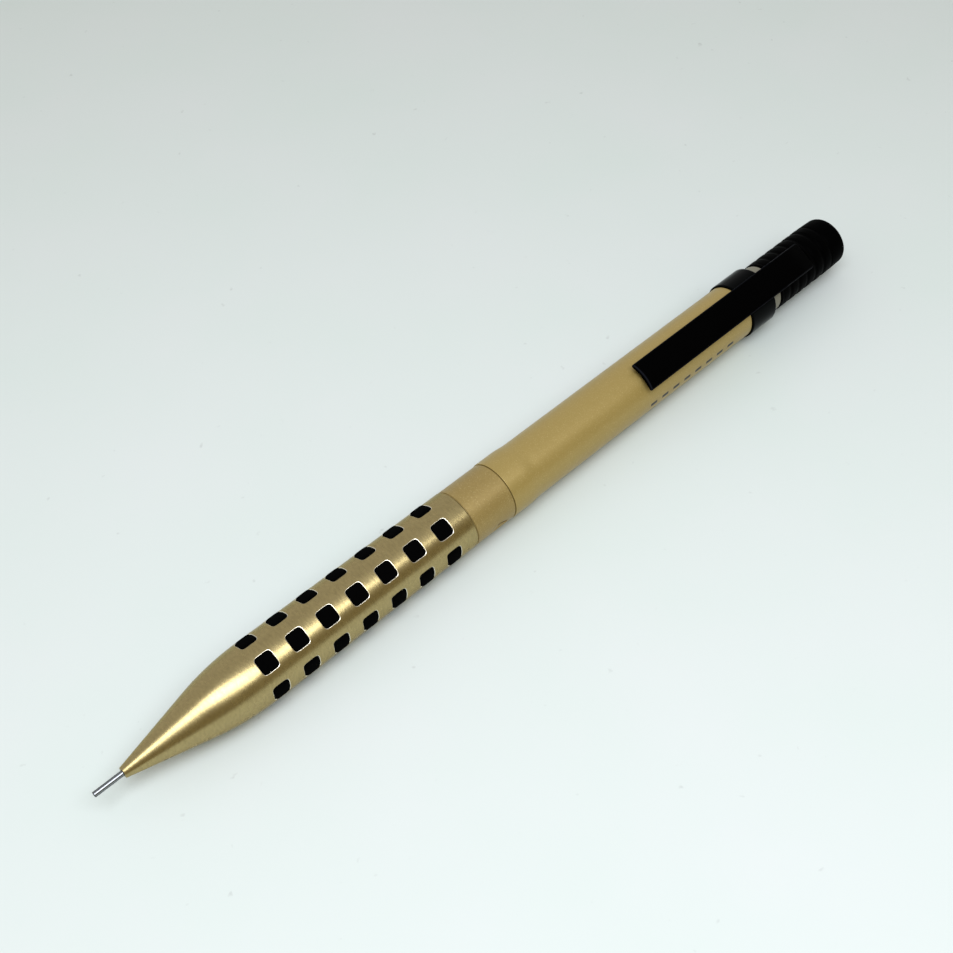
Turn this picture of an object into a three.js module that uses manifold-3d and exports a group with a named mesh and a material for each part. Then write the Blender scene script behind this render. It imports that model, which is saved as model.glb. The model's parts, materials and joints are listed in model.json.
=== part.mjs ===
// A 0.5 mm mechanical pencil: a one-piece metal nose and grip with rubber nubs that stand
// through its windows, a plastic barrel, and a press cap that carries the pocket clip.
//
// Every piece is drawn along +X, with x = 0 at the mouth of the lead pipe, x = LENGTH at the
// end of the press cap, and the clip on the +Z side. The whole pencil is then rolled about its
// own axis and lifted, so that it lies on the plane z = 0 as it does on a desk, with the origin
// in the middle of its footprint. All sizes are in millimetres.
import * as THREE from 'three';
import { mergeVertices } from 'three/addons/utils/BufferGeometryUtils.js';
import Module from 'manifold-3d';

const wasm = await Module();
wasm.setup();

// ---- driving dimensions ----
const LENGTH = 139;
const ROLL = THREE.MathUtils.degToRad(30);
const SIDES = 24; // flats around a turned piece
const FINE_SIDES = 12; // flats around a piece as thin as the lead
const GAP = 0.05; // radial running clearance
const SEAM = 0.15; // gap between pieces that meet end to end

// nose and grip
const NOSE_FRONT = { x: 4.2, r: 0.75 };
const CONE_END = { x: 15.5, r: 3.42 };
const NOSE_BEND_X = 19.9; // where the cone's line and the grip's line would meet
const GRIP_R = 4.47;
const GRIP_FRONT_X = 24.5;
const GRIP_REAR = { x: 59.1, r: 4.42 };
const GRIP_BORE_R = 3.96;
const NOSE_CHAMBER = { from: 10.6, r: 1.75 }; // room for the clutch in front of its sleeve

// windows and the nubs that stand through them
const NUB_ROWS = 6;
const NUBS_PER_ROW = 7;
const NUB_FIRST_X = 25.3;
const NUB_PITCH = 4.92;
const NUB_TOP_R = 4.62;
const WINDOW_SIZE = 2.5;
const WINDOW_CORNER = 0.6;
const NUB_CLEARANCE = 0.08;
const RUBBER = { from: 23.6, to: 56.6, r: 3.88 };

// core tube under the rubber, and the thread that holds the grip to the barrel
const CORE = { from: 22.1, to: 65.3, r: 3.4, bore: 3.05 };
const CORE_GROOVE = { from: 58.6, to: 59.2, depth: 0.15 };

// ring and barrel
const RING = { from: 59.3, to: 66.15, r: 4.37 };
const RING_BORE_R = 3.95;
const RING_SCOOP = { x: 63.2, angle: 77, depth: 0.26, length: 3.8, width: 2.4, height: 0.8 };
const RING_SLOT = { length: 1.5, width: 0.45, height: 1.4 };
const BARREL = { from: 66.3, to: 117.2, bore: 3.5 };
const BARREL_FRONT_R = 4.46;
const SHOULDER = { from: 69.6, to: 71.6 };
const BARREL_MID_R = 4.3;
const BARREL_REAR_R = 4.28;
const CONNECTOR = { from: 59.4, to: 75.5, bore: 3.0 };

// collar, neck and press cap
const COLLAR = { from: 116.05, to: 121.3, r: 4.56, bore: 3.93 };
const BARREL_SPIGOT_R = 4.08;
const NECK = { from: 112, to: 129, r: 3.85, spigotR: 3.3, bore: 2.95 };
const PRESS_TRAVEL = 1.8;
const CAP = { from: 123.3, frontR: 3.9, midR: 4.0, endR: 3.88, bore: 3.35, innerEnd: 136.8 };
const RIBS = 6;
const RIB_PITCH = 2;
const RIB_HEIGHT = 0.12;

// clip
const CLIP = { from: 93.05, to: 130.6, width: 4.6, under: 4.66, top: 5.32, crown: 0.2 };
const CLIP_PAD = { from: 94.15, to: 98.35, under: 4.36, width: 2.4, ramp: 1.4 };
const CLIP_SADDLE = { from: 123.6, clearance: 0.15 };
const CLIP_SLOPE = { from: 124.5, low: 4.1 }; // the top falls away to the cap here

// lead, pipe and retainer
const LEAD_R = 0.25;
const PIPE = { to: 7.6, r: 0.38, bore: 0.3 };
const RETAINER = { from: 7.85, to: 10.1, r: 1.0, mouth: 0.7 };
const LEAD = { from: 0.35, to: 60.35 };

// clutch
const JAW_COUNT = 3;
const JAW = { from: 12.9, to: 17.9, headR: 1.25, neckR: 0.85, neckX: 14.6, bore: 0.28 };
const JAW_SLIT = 0.2;
const CLUTCH_RING = { from: 13.4, to: 15.2, r: 1.62, bore: 1.32 };
const SLEEVE = { from: 12.45, to: 73, frontR: 2.1, rearR: 2.95, lip: 0.17, lipBore: 1.53 };
const SLEEVE_FLARE = { from: 23, to: 24.2 }; // from the front radius to the rear one
const RING_POCKET_R = 1.7;
const JAW_ROOM_R = 1.45;
const SPRING_SEAT = { x: 19.1, bore: 1.0, thickness: 0.8 };
const SPRING_CHAMBER = { to: 35.4, r: 1.72 };
const SPRING = { from: 19.3, to: 32.95, r: 1.36, wire: 0.18, turns: 10 };
const STEM = { from: 18.05, to: 37.2, r: 0.85, bore: 0.35 };
const COUPLING = { from: 33.1, to: 48, r: 1.6, rearR: 1.93, rearBore: 1.5 };
const TANK = { from: 38, to: 131.5, r: 2.4, bore: 2.0, mouthR: 2.85, mouthBore: 2.5 };
const SPARE_LEADS = 3;
const SPARE_LEAD = { from: 54, to: 114, spread: THREE.MathUtils.degToRad(20), lift: 0.06 };
const ERASER = { from: 123, to: 134.2, r: 2.1 };
const ERASER_CUP = { from: 122.4, to: 130.8, r: 2.42 };

// ---- materials ----
const finish = (color, roughness, metalness) =>
  new THREE.MeshStandardMaterial({ color, roughness, metalness });
const champagneMetal = finish(0xb49c6c, 0.32, 1);
const champagnePlastic = finish(0xa89060, 0.42, 0.3);
const paleSleeve = finish(0xb9ae8c, 0.5, 0.2);
const blackRubber = finish(0x0b0b0c, 0.85, 0);
const glossBlack = finish(0x0c0d0f, 0.25, 0);
const satinBlack = finish(0x0a0a0b, 0.5, 0);
const steel = finish(0xc9ccd0, 0.25, 1);
const brass = finish(0xc2a25a, 0.35, 1);
const clearPlastic = finish(0xdfe3e4, 0.3, 0);
const innerPlastic = finish(0x2b2c2e, 0.5, 0);
const graphite = finish(0x2a2b2e, 0.6, 0.2);
const whiteVinyl = finish(0xf1f0ec, 0.8, 0);

// ---- shaping helpers ----

// A turned piece: the outline is a list of [x, r] points. It runs along the outside towards +X
// and back along the bore, and closes on itself or on the axis.
function turned(outline, sides = SIDES) {
  const onAxis = outline[0][1] === 0;
  const loop = onAxis ? outline : [...outline, outline[0]];
  const points = loop.map(([x, r]) => new THREE.Vector2(r, x));
  const geometry = new THREE.LatheGeometry(points, sides);
  return geometry.rotateZ(-Math.PI / 2);
}

// A plain tube, with an outer radius and a bore.
const tube = (from, to, r, bore, sides) =>
  turned([[from, r], [to, r], [to, bore], [from, bore]], sides);

// A flat outline in the Y-Z plane, carried along +X. In the outline, a is along +Y and b is
// along +Z.
function extrudedAlongX(points, from, to) {
  const shape = new THREE.Shape(points.map(([a, b]) => new THREE.Vector2(a, b)));
  const geometry = new THREE.ExtrudeGeometry(shape, { depth: to - from, bevelEnabled: false });
  const turn = new THREE.Matrix4().makeBasis(
    new THREE.Vector3(0, 1, 0),
    new THREE.Vector3(0, 0, 1),
    new THREE.Vector3(1, 0, 0),
  );
  return geometry.applyMatrix4(turn).translate(from, 0, 0);
}

// A flat outline in the X-Z plane, carried across Y and centred on it.
function extrudedAcross(points, width) {
  const shape = new THREE.Shape(points.map(([x, z]) => new THREE.Vector2(x, z)));
  const geometry = new THREE.ExtrudeGeometry(shape, { depth: width, bevelEnabled: false });
  return geometry.rotateX(Math.PI / 2).translate(0, width / 2, 0);
}

// The closed solid of a geometry, with its shared corners merged and its empty faces dropped.
function solid(geometry) {
  const bare = new THREE.BufferGeometry();
  bare.setAttribute('position', geometry.getAttribute('position'));
  if (geometry.index) bare.setIndex(geometry.index);
  const merged = mergeVertices(bare, 1e-4);
  const index = merged.index.array;
  const kept = [];
  for (let i = 0; i < index.length; i += 3) {
    const [a, b, c] = [index[i], index[i + 1], index[i + 2]];
    if (a !== b && b !== c && c !== a) kept.push(a, b, c);
  }
  const vertProperties = Float32Array.from(merged.getAttribute('position').array);
  const triVerts = Uint32Array.from(kept);
  return new wasm.Manifold(new wasm.Mesh({ numProp: 3, vertProperties, triVerts }));
}

// The geometry of a solid that was cut or joined.
function geometryOf(body) {
  const mesh = body.getMesh();
  const geometry = new THREE.BufferGeometry();
  const corners = Float32Array.from(mesh.vertProperties);
  geometry.setAttribute('position', new THREE.BufferAttribute(corners, 3));
  geometry.setIndex([...mesh.triVerts]);
  geometry.computeVertexNormals();
  return geometry;
}

// A block that stands out along the radius at one station: a square with cut corners, as wide
// as size, from radius low to radius high, turned by angle about the pencil's axis.
function radialBlock(x, angle, size, corner, low, high) {
  const half = size / 2;
  const inner = half - corner;
  const outline = [
    [half, -inner], [half, inner], [inner, half], [-inner, half],
    [-half, inner], [-half, -inner], [-inner, -half], [inner, -half],
  ];
  const shape = new THREE.Shape(outline.map(([a, b]) => new THREE.Vector2(a, b)));
  const geometry = new THREE.ExtrudeGeometry(shape, { depth: high - low, bevelEnabled: false });
  return geometry.translate(0, 0, low).rotateX(angle).translate(x, 0, 0);
}

// One block for each window or nub, in rows along the grip.
function nubBlocks(size, corner, low, high) {
  const blocks = [];
  for (let row = 0; row < NUB_ROWS; row += 1) {
    const angle = (row * 2 * Math.PI) / NUB_ROWS;
    for (let i = 0; i < NUBS_PER_ROW; i += 1) {
      const x = NUB_FIRST_X + i * NUB_PITCH;
      blocks.push(radialBlock(x, angle, size, corner, low, high));
    }
  }
  return blocks;
}

// ---- the grip ----

// The outside of the nose: a straight cone that runs into the grip along a parabola.
function noseOutline() {
  const curve = new THREE.QuadraticBezierCurve(
    new THREE.Vector2(CONE_END.x, CONE_END.r),
    new THREE.Vector2(NOSE_BEND_X, GRIP_R),
    new THREE.Vector2(GRIP_FRONT_X, GRIP_R),
  );
  return [[NOSE_FRONT.x, NOSE_FRONT.r], ...curve.getPoints(5).map((p) => [p.x, p.y])];
}

function gripShell() {
  const seatR = SLEEVE.frontR + 2 * GAP;
  const coreSeatR = CORE.r + GAP;
  const pipeSeatR = PIPE.r + 0.04;
  const edge = 0.15;
  const rubberSeatX = RUBBER.from - 0.2;
  const outline = [
    ...noseOutline(),
    [GRIP_REAR.x - edge, GRIP_REAR.r],
    [GRIP_REAR.x, GRIP_REAR.r - edge],
    [GRIP_REAR.x, GRIP_BORE_R],
    [rubberSeatX, GRIP_BORE_R],
    [rubberSeatX, coreSeatR],
    [CORE.from - SEAM, coreSeatR],
    [CORE.from - SEAM, seatR],
    [SLEEVE.from - GAP, seatR],
    [SLEEVE.from - GAP, NOSE_CHAMBER.r],
    [NOSE_CHAMBER.from, NOSE_CHAMBER.r],
    [NOSE_CHAMBER.from, RETAINER.r + GAP],
    [RETAINER.from - GAP, RETAINER.r + GAP],
    [RETAINER.from - GAP, pipeSeatR],
    [NOSE_FRONT.x, pipeSeatR],
  ];
  const beyond = 0.6;
  const windows = nubBlocks(WINDOW_SIZE, WINDOW_CORNER, GRIP_BORE_R - beyond, GRIP_R + beyond);
  const blank = solid(turned(outline));
  const shell = windows.reduce((body, cutter) => body.subtract(solid(cutter)), blank);
  return geometryOf(shell);
}

function rubberGrip() {
  const size = WINDOW_SIZE - 2 * NUB_CLEARANCE;
  const corner = WINDOW_CORNER - 0.05;
  const root = RUBBER.r - 0.2;
  const sleeve = solid(tube(RUBBER.from, RUBBER.to, RUBBER.r, CORE.r + GAP));
  const nubs = nubBlocks(size, corner, root, NUB_TOP_R);
  return geometryOf(nubs.reduce((body, nub) => body.add(solid(nub)), sleeve));
}

// The core tube, with the male thread's run-out groove behind the grip.
function gripCore() {
  const low = CORE.r - CORE_GROOVE.depth;
  return turned([
    [CORE.from, CORE.r], [CORE_GROOVE.from, CORE.r], [CORE_GROOVE.from, low],
    [CORE_GROOVE.to, low], [CORE_GROOVE.to, CORE.r], [CORE.to - CORE_GROOVE.depth, CORE.r],
    [CORE.to, low], [CORE.to, CORE.bore], [CORE.from, CORE.bore],
  ]);
}

function guidePipe() {
  const edge = 0.05;
  return turned([
    [0, PIPE.r - edge], [edge, PIPE.r], [PIPE.to, PIPE.r], [PIPE.to, PIPE.bore], [0, PIPE.bore],
  ], FINE_SIDES);
}

function leadRetainer() {
  const { from, to, r, mouth } = RETAINER;
  return turned([
    [from, r], [to, r], [to, 2 * PIPE.bore], [to - mouth, PIPE.bore], [from, PIPE.bore],
  ], FINE_SIDES);
}

// ---- ring, connector and barrel ----

// The ring between grip and barrel, with a shallow scoop and a slot in its side.
function jointRing() {
  const edge = 0.1;
  const ring = solid(turned([
    [RING.from, RING.r - edge], [RING.from + edge, RING.r], [RING.to - edge, RING.r],
    [RING.to, RING.r - edge], [RING.to, RING_BORE_R], [RING.from, RING_BORE_R],
  ]));
  const { length, width, height, depth } = RING_SCOOP;
  const scoop = new THREE.SphereGeometry(1, 12, 8).scale(length / 2, width / 2, height);
  scoop.translate(0, 0, RING.r - depth + height);
  const slot = new THREE.BoxGeometry(RING_SLOT.length, RING_SLOT.width, RING_SLOT.height);
  slot.translate(RING_SLOT.length / 2, 0, RING.r);
  const angle = THREE.MathUtils.degToRad(RING_SCOOP.angle);
  const place = (cutter) => solid(cutter.rotateX(angle).translate(RING_SCOOP.x, 0, 0));
  return geometryOf(ring.subtract(place(scoop)).subtract(place(slot)));
}

// The threaded insert that joins core, ring, sleeve and barrel.
function threadConnector() {
  const outerR = RING_BORE_R - GAP;
  const tailR = BARREL.bore - GAP;
  const threadBore = CORE.r + GAP;
  const threadEnd = CORE.to + 0.25;
  return turned([
    [CONNECTOR.from, outerR], [RING.to, outerR], [RING.to, tailR], [CONNECTOR.to, tailR],
    [CONNECTOR.to, CONNECTOR.bore], [threadEnd, CONNECTOR.bore], [threadEnd, threadBore],
    [CONNECTOR.from, threadBore],
  ]);
}

function barrel() {
  const edge = 0.1;
  const middle = { x: (SHOULDER.from + SHOULDER.to) / 2, r: BARREL_FRONT_R - 0.06 };
  return turned([
    [BARREL.from, BARREL_FRONT_R - edge],
    [BARREL.from + edge, BARREL_FRONT_R],
    [SHOULDER.from, BARREL_FRONT_R],
    [middle.x, middle.r],
    [SHOULDER.to, BARREL_MID_R],
    [COLLAR.from - SEAM, BARREL_REAR_R],
    [COLLAR.from - SEAM, BARREL_SPIGOT_R],
    [BARREL.to, BARREL_SPIGOT_R],
    [BARREL.to, BARREL.bore],
    [BARREL.from, BARREL.bore],
  ]);
}

function collar() {
  const edge = 0.2;
  return turned([
    [COLLAR.from, COLLAR.r - edge], [COLLAR.from + edge, COLLAR.r],
    [COLLAR.to - edge, COLLAR.r], [COLLAR.to, COLLAR.r - edge], [COLLAR.to, COLLAR.bore],
    [BARREL.to + SEAM, COLLAR.bore], [BARREL.to + SEAM, BARREL_SPIGOT_R + GAP],
    [COLLAR.from, BARREL_SPIGOT_R + GAP],
  ]);
}

// ---- the press unit ----

// The pale sleeve that slides in the collar and carries the cap.
function neckSleeve() {
  const stepX = BARREL.to + 2 * SEAM + PRESS_TRAVEL + 2 * GAP;
  const frontR = BARREL.bore - 0.08;
  const shoulderX = CAP.from - 2 * GAP;
  return turned([
    [NECK.from, frontR], [stepX, frontR], [stepX, NECK.r], [shoulderX, NECK.r],
    [shoulderX, NECK.spigotR], [NECK.to, NECK.spigotR], [NECK.to, NECK.bore],
    [NECK.from, NECK.bore],
  ]);
}

// One rib of the cap: a low ridge with rounded shoulders.
const ribOutline = (x) => [
  [x, CAP.midR - RIB_HEIGHT], [x + 0.35 * RIB_PITCH, CAP.midR],
  [x + 0.7 * RIB_PITCH, CAP.midR], [x + 0.98 * RIB_PITCH, CAP.midR - RIB_HEIGHT],
];

function pressCap() {
  const firstRib = CAP.from + 0.3;
  const ribs = [];
  for (let i = 0; i < RIBS; i += 1) ribs.push(...ribOutline(firstRib + i * RIB_PITCH));
  const innerR = NECK.bore + GAP;
  const seatX = NECK.to + SEAM;
  const round = { x: 0.9, midX: 0.35, midR: 0.2, r: 0.8 };
  return turned([
    [CAP.innerEnd, 0], [CAP.innerEnd, innerR], [seatX, innerR], [seatX, CAP.bore],
    [CAP.from, CAP.bore], [CAP.from, CAP.frontR - 0.1], ...ribs,
    [LENGTH - round.x, CAP.endR], [LENGTH - round.midX, CAP.endR - round.midR],
    [LENGTH, CAP.endR - round.r], [LENGTH, 0],
  ]);
}

function leadTank() {
  const mouthX = ERASER_CUP.from - 0.8;
  const flare = { outside: 1, inside: 0.6 };
  return turned([
    [TANK.from, TANK.r], [mouthX - flare.outside, TANK.r], [mouthX, TANK.mouthR],
    [TANK.to, TANK.mouthR], [TANK.to, TANK.mouthBore], [mouthX + flare.inside, TANK.mouthBore],
    [mouthX, TANK.bore], [TANK.from, TANK.bore],
  ]);
}

// The coupling takes the stem in its front bore, and the tank slips over its rear.
function tankCoupling() {
  const stepX = TANK.from - 0.5;
  const stemSeat = { x: STEM.to + 0.2, r: STEM.r + GAP };
  const hole = { x: STEM.to + 0.4, r: STEM.bore + 0.1 };
  return turned([
    [COUPLING.from, COUPLING.r], [stepX, COUPLING.r], [stepX, COUPLING.rearR],
    [COUPLING.to, COUPLING.rearR], [COUPLING.to, COUPLING.rearBore], [hole.x, hole.r],
    [stemSeat.x, hole.r], [stemSeat.x, stemSeat.r], [COUPLING.from, stemSeat.r],
  ]);
}

function eraserCup() {
  const { from, to, r } = ERASER_CUP;
  const seat = { x: ERASER.from - 2 * GAP, r: ERASER.r + GAP };
  return turned([[from, 0], [from, r], [to, r], [to, seat.r], [seat.x, seat.r], [seat.x, 0]]);
}

function eraser() {
  const { from, to, r } = ERASER;
  const edge = 0.25;
  return turned([[from, 0], [from, r], [to - edge, r], [to, r - edge], [to, 0]]);
}

// ---- the clutch ----

// The long sleeve that holds the clutch: a lip that stops the clutch ring, the ring's pocket,
// the spring's seat and chamber, and a wide tail around the lead tank.
function clutchSleeve() {
  const tailBore = TANK.r + 2 * GAP;
  const seatFront = SPRING_SEAT.x - SPRING_SEAT.thickness;
  const pocketEnd = CLUTCH_RING.to + SEAM;
  const lipEnd = SLEEVE.from + SLEEVE.lip;
  return turned([
    [SLEEVE.from, SLEEVE.frontR], [SLEEVE_FLARE.from, SLEEVE.frontR],
    [SLEEVE_FLARE.to, SLEEVE.rearR], [SLEEVE.to, SLEEVE.rearR],
    [SLEEVE.to, tailBore], [SPRING_CHAMBER.to, tailBore],
    [SPRING_CHAMBER.to, SPRING_CHAMBER.r], [SPRING_SEAT.x, SPRING_CHAMBER.r],
    [SPRING_SEAT.x, SPRING_SEAT.bore], [seatFront, SPRING_SEAT.bore],
    [seatFront, JAW_ROOM_R], [pocketEnd, JAW_ROOM_R],
    [pocketEnd, RING_POCKET_R], [lipEnd, RING_POCKET_R],
    [lipEnd, SLEEVE.lipBore], [SLEEVE.from, SLEEVE.lipBore],
  ]);
}

const clutchRing = () =>
  tube(CLUTCH_RING.from, CLUTCH_RING.to, CLUTCH_RING.r, CLUTCH_RING.bore);

// One finger of the chuck: a third of the turned chuck, with a parallel slit on each side.
function jaw(angle) {
  const nose = { length: 0.4, drop: 0.15 };
  const chuck = solid(turned([
    [JAW.from, JAW.headR - nose.drop], [JAW.from + nose.length, JAW.headR],
    [JAW.neckX, JAW.neckR], [JAW.to, JAW.neckR], [JAW.to, JAW.bore], [JAW.from, JAW.bore],
  ]));
  const apex = JAW_SLIT / 2 / Math.sin(Math.PI / JAW_COUNT);
  const reach = 3;
  const side = reach * Math.tan(Math.PI / JAW_COUNT);
  const wedge = extrudedAlongX(
    [[0, apex], [-side, apex + reach], [side, apex + reach]].reverse(),
    JAW.from - 1,
    JAW.to + 1,
  );
  return geometryOf(chuck.intersect(solid(wedge.rotateX(angle))));
}

const chuckStem = () => tube(STEM.from, STEM.to, STEM.r, STEM.bore);

// The spring's centre line: a helix with one closed turn at each end.
class SpringLine extends THREE.Curve {
  getPoint(t, target = new THREE.Vector3()) {
    const turn = t * SPRING.turns;
    const closed = 2.1 * SPRING.wire;
    const open = (SPRING.to - SPRING.from - 2 * SPRING.wire - 2 * closed) / (SPRING.turns - 2);
    const middle = THREE.MathUtils.clamp(turn - 1, 0, SPRING.turns - 2);
    const along = (turn - middle) * closed + middle * open;
    const angle = turn * 2 * Math.PI;
    const x = SPRING.from + SPRING.wire + along;
    return target.set(x, SPRING.r * Math.cos(angle), SPRING.r * Math.sin(angle));
  }
}

function returnSpring() {
  const section = new THREE.Shape().absarc(0, 0, SPRING.wire, 0, 2 * Math.PI);
  return new THREE.ExtrudeGeometry(section, {
    extrudePath: new SpringLine(),
    steps: SPRING.turns * 10,
    curveSegments: 3,
  });
}

// ---- leads ----

const lead = (from, to) =>
  turned([[from, 0], [from, LEAD_R], [to, LEAD_R], [to, 0]], FINE_SIDES);

// A spare lead, lying on the lowest side of the tank.
function spareLead(i) {
  const { from, to, spread, lift } = SPARE_LEAD;
  const angle = Math.PI - ROLL + (i - (SPARE_LEADS - 1) / 2) * spread;
  return lead(from, to).translate(0, 0, TANK.bore - LEAD_R - lift).rotateX(angle);
}

// ---- the clip ----

// A crowned bar with a pad under its tip and a saddle over the cap.
function clip() {
  const half = CLIP.width / 2;
  const edge = CLIP.top - CLIP.crown;
  const steps = 6;
  const crown = [];
  for (let i = 0; i <= steps; i += 1) {
    const y = half - (i * CLIP.width) / steps;
    crown.push([y, edge + CLIP.crown * (1 - (y / half) ** 2)]);
  }
  const section = [[-half, CLIP.under], [half, CLIP.under], ...crown];
  const bar = solid(extrudedAlongX(section, CLIP.from, CLIP.to));
  const root = CLIP.under + 0.1;
  const pad = solid(extrudedAcross([
    [CLIP_PAD.from, root], [CLIP_PAD.from + CLIP_PAD.ramp, CLIP_PAD.under],
    [CLIP_PAD.to - CLIP_PAD.ramp, CLIP_PAD.under], [CLIP_PAD.to, root],
  ], CLIP_PAD.width));
  const low = CAP.midR - 1;
  const block = [[-half, low], [half, low], [half, edge], [-half, edge]];
  const saddle = solid(extrudedAlongX(block, CLIP_SADDLE.from, CLIP.to));
  const beyond = 1;
  const slope = solid(extrudedAcross([
    [CLIP_SLOPE.from, CLIP.top + beyond], [CLIP.to + beyond, CLIP_SLOPE.low],
    [CLIP.to + beyond, CLIP.top + beyond],
  ], CLIP.width + beyond));
  const capRoomR = CAP.midR + CLIP_SADDLE.clearance;
  const capRoom = solid(turned([
    [CLIP_SADDLE.from - beyond, 0], [CLIP_SADDLE.from - beyond, capRoomR],
    [CLIP.to + beyond, capRoomR], [CLIP.to + beyond, 0],
  ]));
  return geometryOf(bar.add(saddle).subtract(capRoom).subtract(slope).add(pad));
}

// ---- assembly ----

const pencil = new THREE.Group();

function fit(name, geometry, material) {
  const mesh = new THREE.Mesh(geometry, material);
  mesh.name = name;
  pencil.add(mesh);
}

fit('grip_shell', gripShell(), champagneMetal);
fit('rubber_grip', rubberGrip(), blackRubber);
fit('grip_core', gripCore(), innerPlastic);
fit('guide_pipe', guidePipe(), steel);
fit('lead_retainer', leadRetainer(), blackRubber);
fit('joint_ring', jointRing(), champagnePlastic);
fit('thread_connector', threadConnector(), brass);
fit('barrel', barrel(), champagnePlastic);
fit('collar', collar(), glossBlack);
fit('clutch_sleeve', clutchSleeve(), innerPlastic);
fit('clutch_ring', clutchRing(), brass);
for (let i = 0; i < JAW_COUNT; i += 1) {
  fit(`chuck_jaw_${i + 1}`, jaw(((2 * i + 1) * Math.PI) / JAW_COUNT), brass);
}
fit('chuck_stem', chuckStem(), brass);
fit('return_spring', returnSpring(), steel);
fit('tank_coupling', tankCoupling(), brass);
fit('lead_tank', leadTank(), clearPlastic);
fit('neck_sleeve', neckSleeve(), paleSleeve);
fit('press_cap', pressCap(), satinBlack);
fit('clip', clip(), satinBlack);
fit('eraser_cup', eraserCup(), brass);
fit('eraser', eraser(), whiteVinyl);
fit('lead_in_use', lead(LEAD.from, LEAD.to), graphite);
for (let i = 0; i < SPARE_LEADS; i += 1) fit(`spare_lead_${i + 1}`, spareLead(i), graphite);

// Lying at rest: rolled about its own axis, with the collar, its widest turned piece, on z = 0.
pencil.rotation.x = ROLL;
pencil.position.set(-LENGTH / 2, 0, COLLAR.r);

export default pencil;
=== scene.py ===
"""A mechanical pencil at rest on a pale desk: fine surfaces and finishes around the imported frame.

Every piece is drawn in the pencil's own frame, in millimetres: x runs from the mouth of the lead
pipe to the end of the press cap, and angle 0 about that line is the side with the clip. One
placement then turns these into the row frame in metres.
"""

import json
import logging
import math
from dataclasses import dataclass, field
from enum import Enum
from typing import Optional

import bmesh
import bpy
import numpy as np
from mathutils import Matrix, Vector


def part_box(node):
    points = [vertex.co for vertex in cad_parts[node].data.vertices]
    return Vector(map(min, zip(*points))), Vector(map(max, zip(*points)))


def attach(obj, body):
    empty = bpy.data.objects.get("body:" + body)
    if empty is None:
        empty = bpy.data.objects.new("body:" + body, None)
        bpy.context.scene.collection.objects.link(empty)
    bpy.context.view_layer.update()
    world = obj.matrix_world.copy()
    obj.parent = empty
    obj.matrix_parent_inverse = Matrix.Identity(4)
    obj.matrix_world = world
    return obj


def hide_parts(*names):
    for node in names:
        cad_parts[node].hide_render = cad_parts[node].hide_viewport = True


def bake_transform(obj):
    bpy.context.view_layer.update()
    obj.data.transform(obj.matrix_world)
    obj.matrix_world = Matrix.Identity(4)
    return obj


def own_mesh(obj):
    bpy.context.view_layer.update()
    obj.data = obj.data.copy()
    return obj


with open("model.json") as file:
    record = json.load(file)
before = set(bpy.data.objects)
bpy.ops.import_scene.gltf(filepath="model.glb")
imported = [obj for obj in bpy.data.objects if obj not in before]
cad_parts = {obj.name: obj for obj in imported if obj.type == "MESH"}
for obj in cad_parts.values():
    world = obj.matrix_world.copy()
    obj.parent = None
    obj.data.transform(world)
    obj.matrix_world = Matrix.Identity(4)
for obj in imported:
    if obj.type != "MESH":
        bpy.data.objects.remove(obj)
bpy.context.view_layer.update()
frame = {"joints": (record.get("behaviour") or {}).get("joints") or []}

MM = 0.001
TURN = 2 * math.pi
# The point attribute that marks where a finish takes its second colour: bare metal with painted
# highlight on the grip's rims, painted highlight on the clip's edges, painted shade in the ring's
# slot.
WEAR_AND_LIGHT = "wear_and_painted_light"
# Points closer than this are welded, in metres.
WELD_REACH = 4e-7
# How long the patches are over which a finish's roughness wanders, in millimetres.
PATCH_SIZE = 3.0
log = logging.getLogger("pencil")

Pair = tuple[float, float]
Triple = tuple[float, float, float]
# A corner of an outline: x, r and its rounding.
Corner = tuple[float, float, float]
Socket = bpy.types.NodeSocket
Tree = bpy.types.NodeTree


class Body(Enum):
    """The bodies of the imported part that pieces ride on."""

    BARREL = "barrel"
    NOSE = "nose"
    GRIP = "grip"
    PRESS = "press_unit"
    CAP = "cap"
    CLIP = "clip"
    ERASER = "eraser"
    CLUTCH = "clutch"
    LEAD = "lead"
    JAW_1 = "jaw_1"
    JAW_2 = "jaw_2"
    JAW_3 = "jaw_3"


# ---- where the pencil lies ----


@dataclass(frozen=True)
class Placement:
    """How the pencil's own frame sits in the row frame.

    Attributes:
        mouth_x: where the pipe's mouth is along the row's x axis, in metres.
        axis_z: how high the pencil's axis lies, in metres.
        roll: how far the clip has turned away from straight up, in radians.
    """

    mouth_x: float
    axis_z: float
    roll: float

    @classmethod
    def from_frame(cls) -> "Placement":
        """Reads the place from the collar, the pipe and the clip's hinge.

        Returns:
            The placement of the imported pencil.
        """
        low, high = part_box("collar")
        hinge = next(joint for joint in frame["joints"] if joint["name"] == "clip_flex")
        roll = math.atan2(hinge["axis"][2], hinge["axis"][1])
        return cls(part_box("guide_pipe")[0].x, (low.z + high.z) / 2, roll)

    def to_row(self, points: np.ndarray) -> np.ndarray:
        """Turns points about the axis by the roll, lifts them, and scales them to metres.

        Args:
            points: an array of points in the pencil's frame, in millimetres.

        Returns:
            The same points in the row frame, in metres.
        """
        x, y, z = np.moveaxis(points, -1, 0)
        cos, sin = math.cos(self.roll), math.sin(self.roll)
        turned_y = (y * cos - z * sin) * MM
        turned_z = (y * sin + z * cos) * MM + self.axis_z
        return np.stack([x * MM + self.mouth_x, turned_y, turned_z], axis=-1)

    def point(self, x: float, y: float, z: float) -> Triple:
        """One point of the pencil's frame, in the row frame."""
        return tuple(float(v) for v in self.to_row(np.array([x, y, z])))


PLACE = Placement.from_frame()


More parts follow.
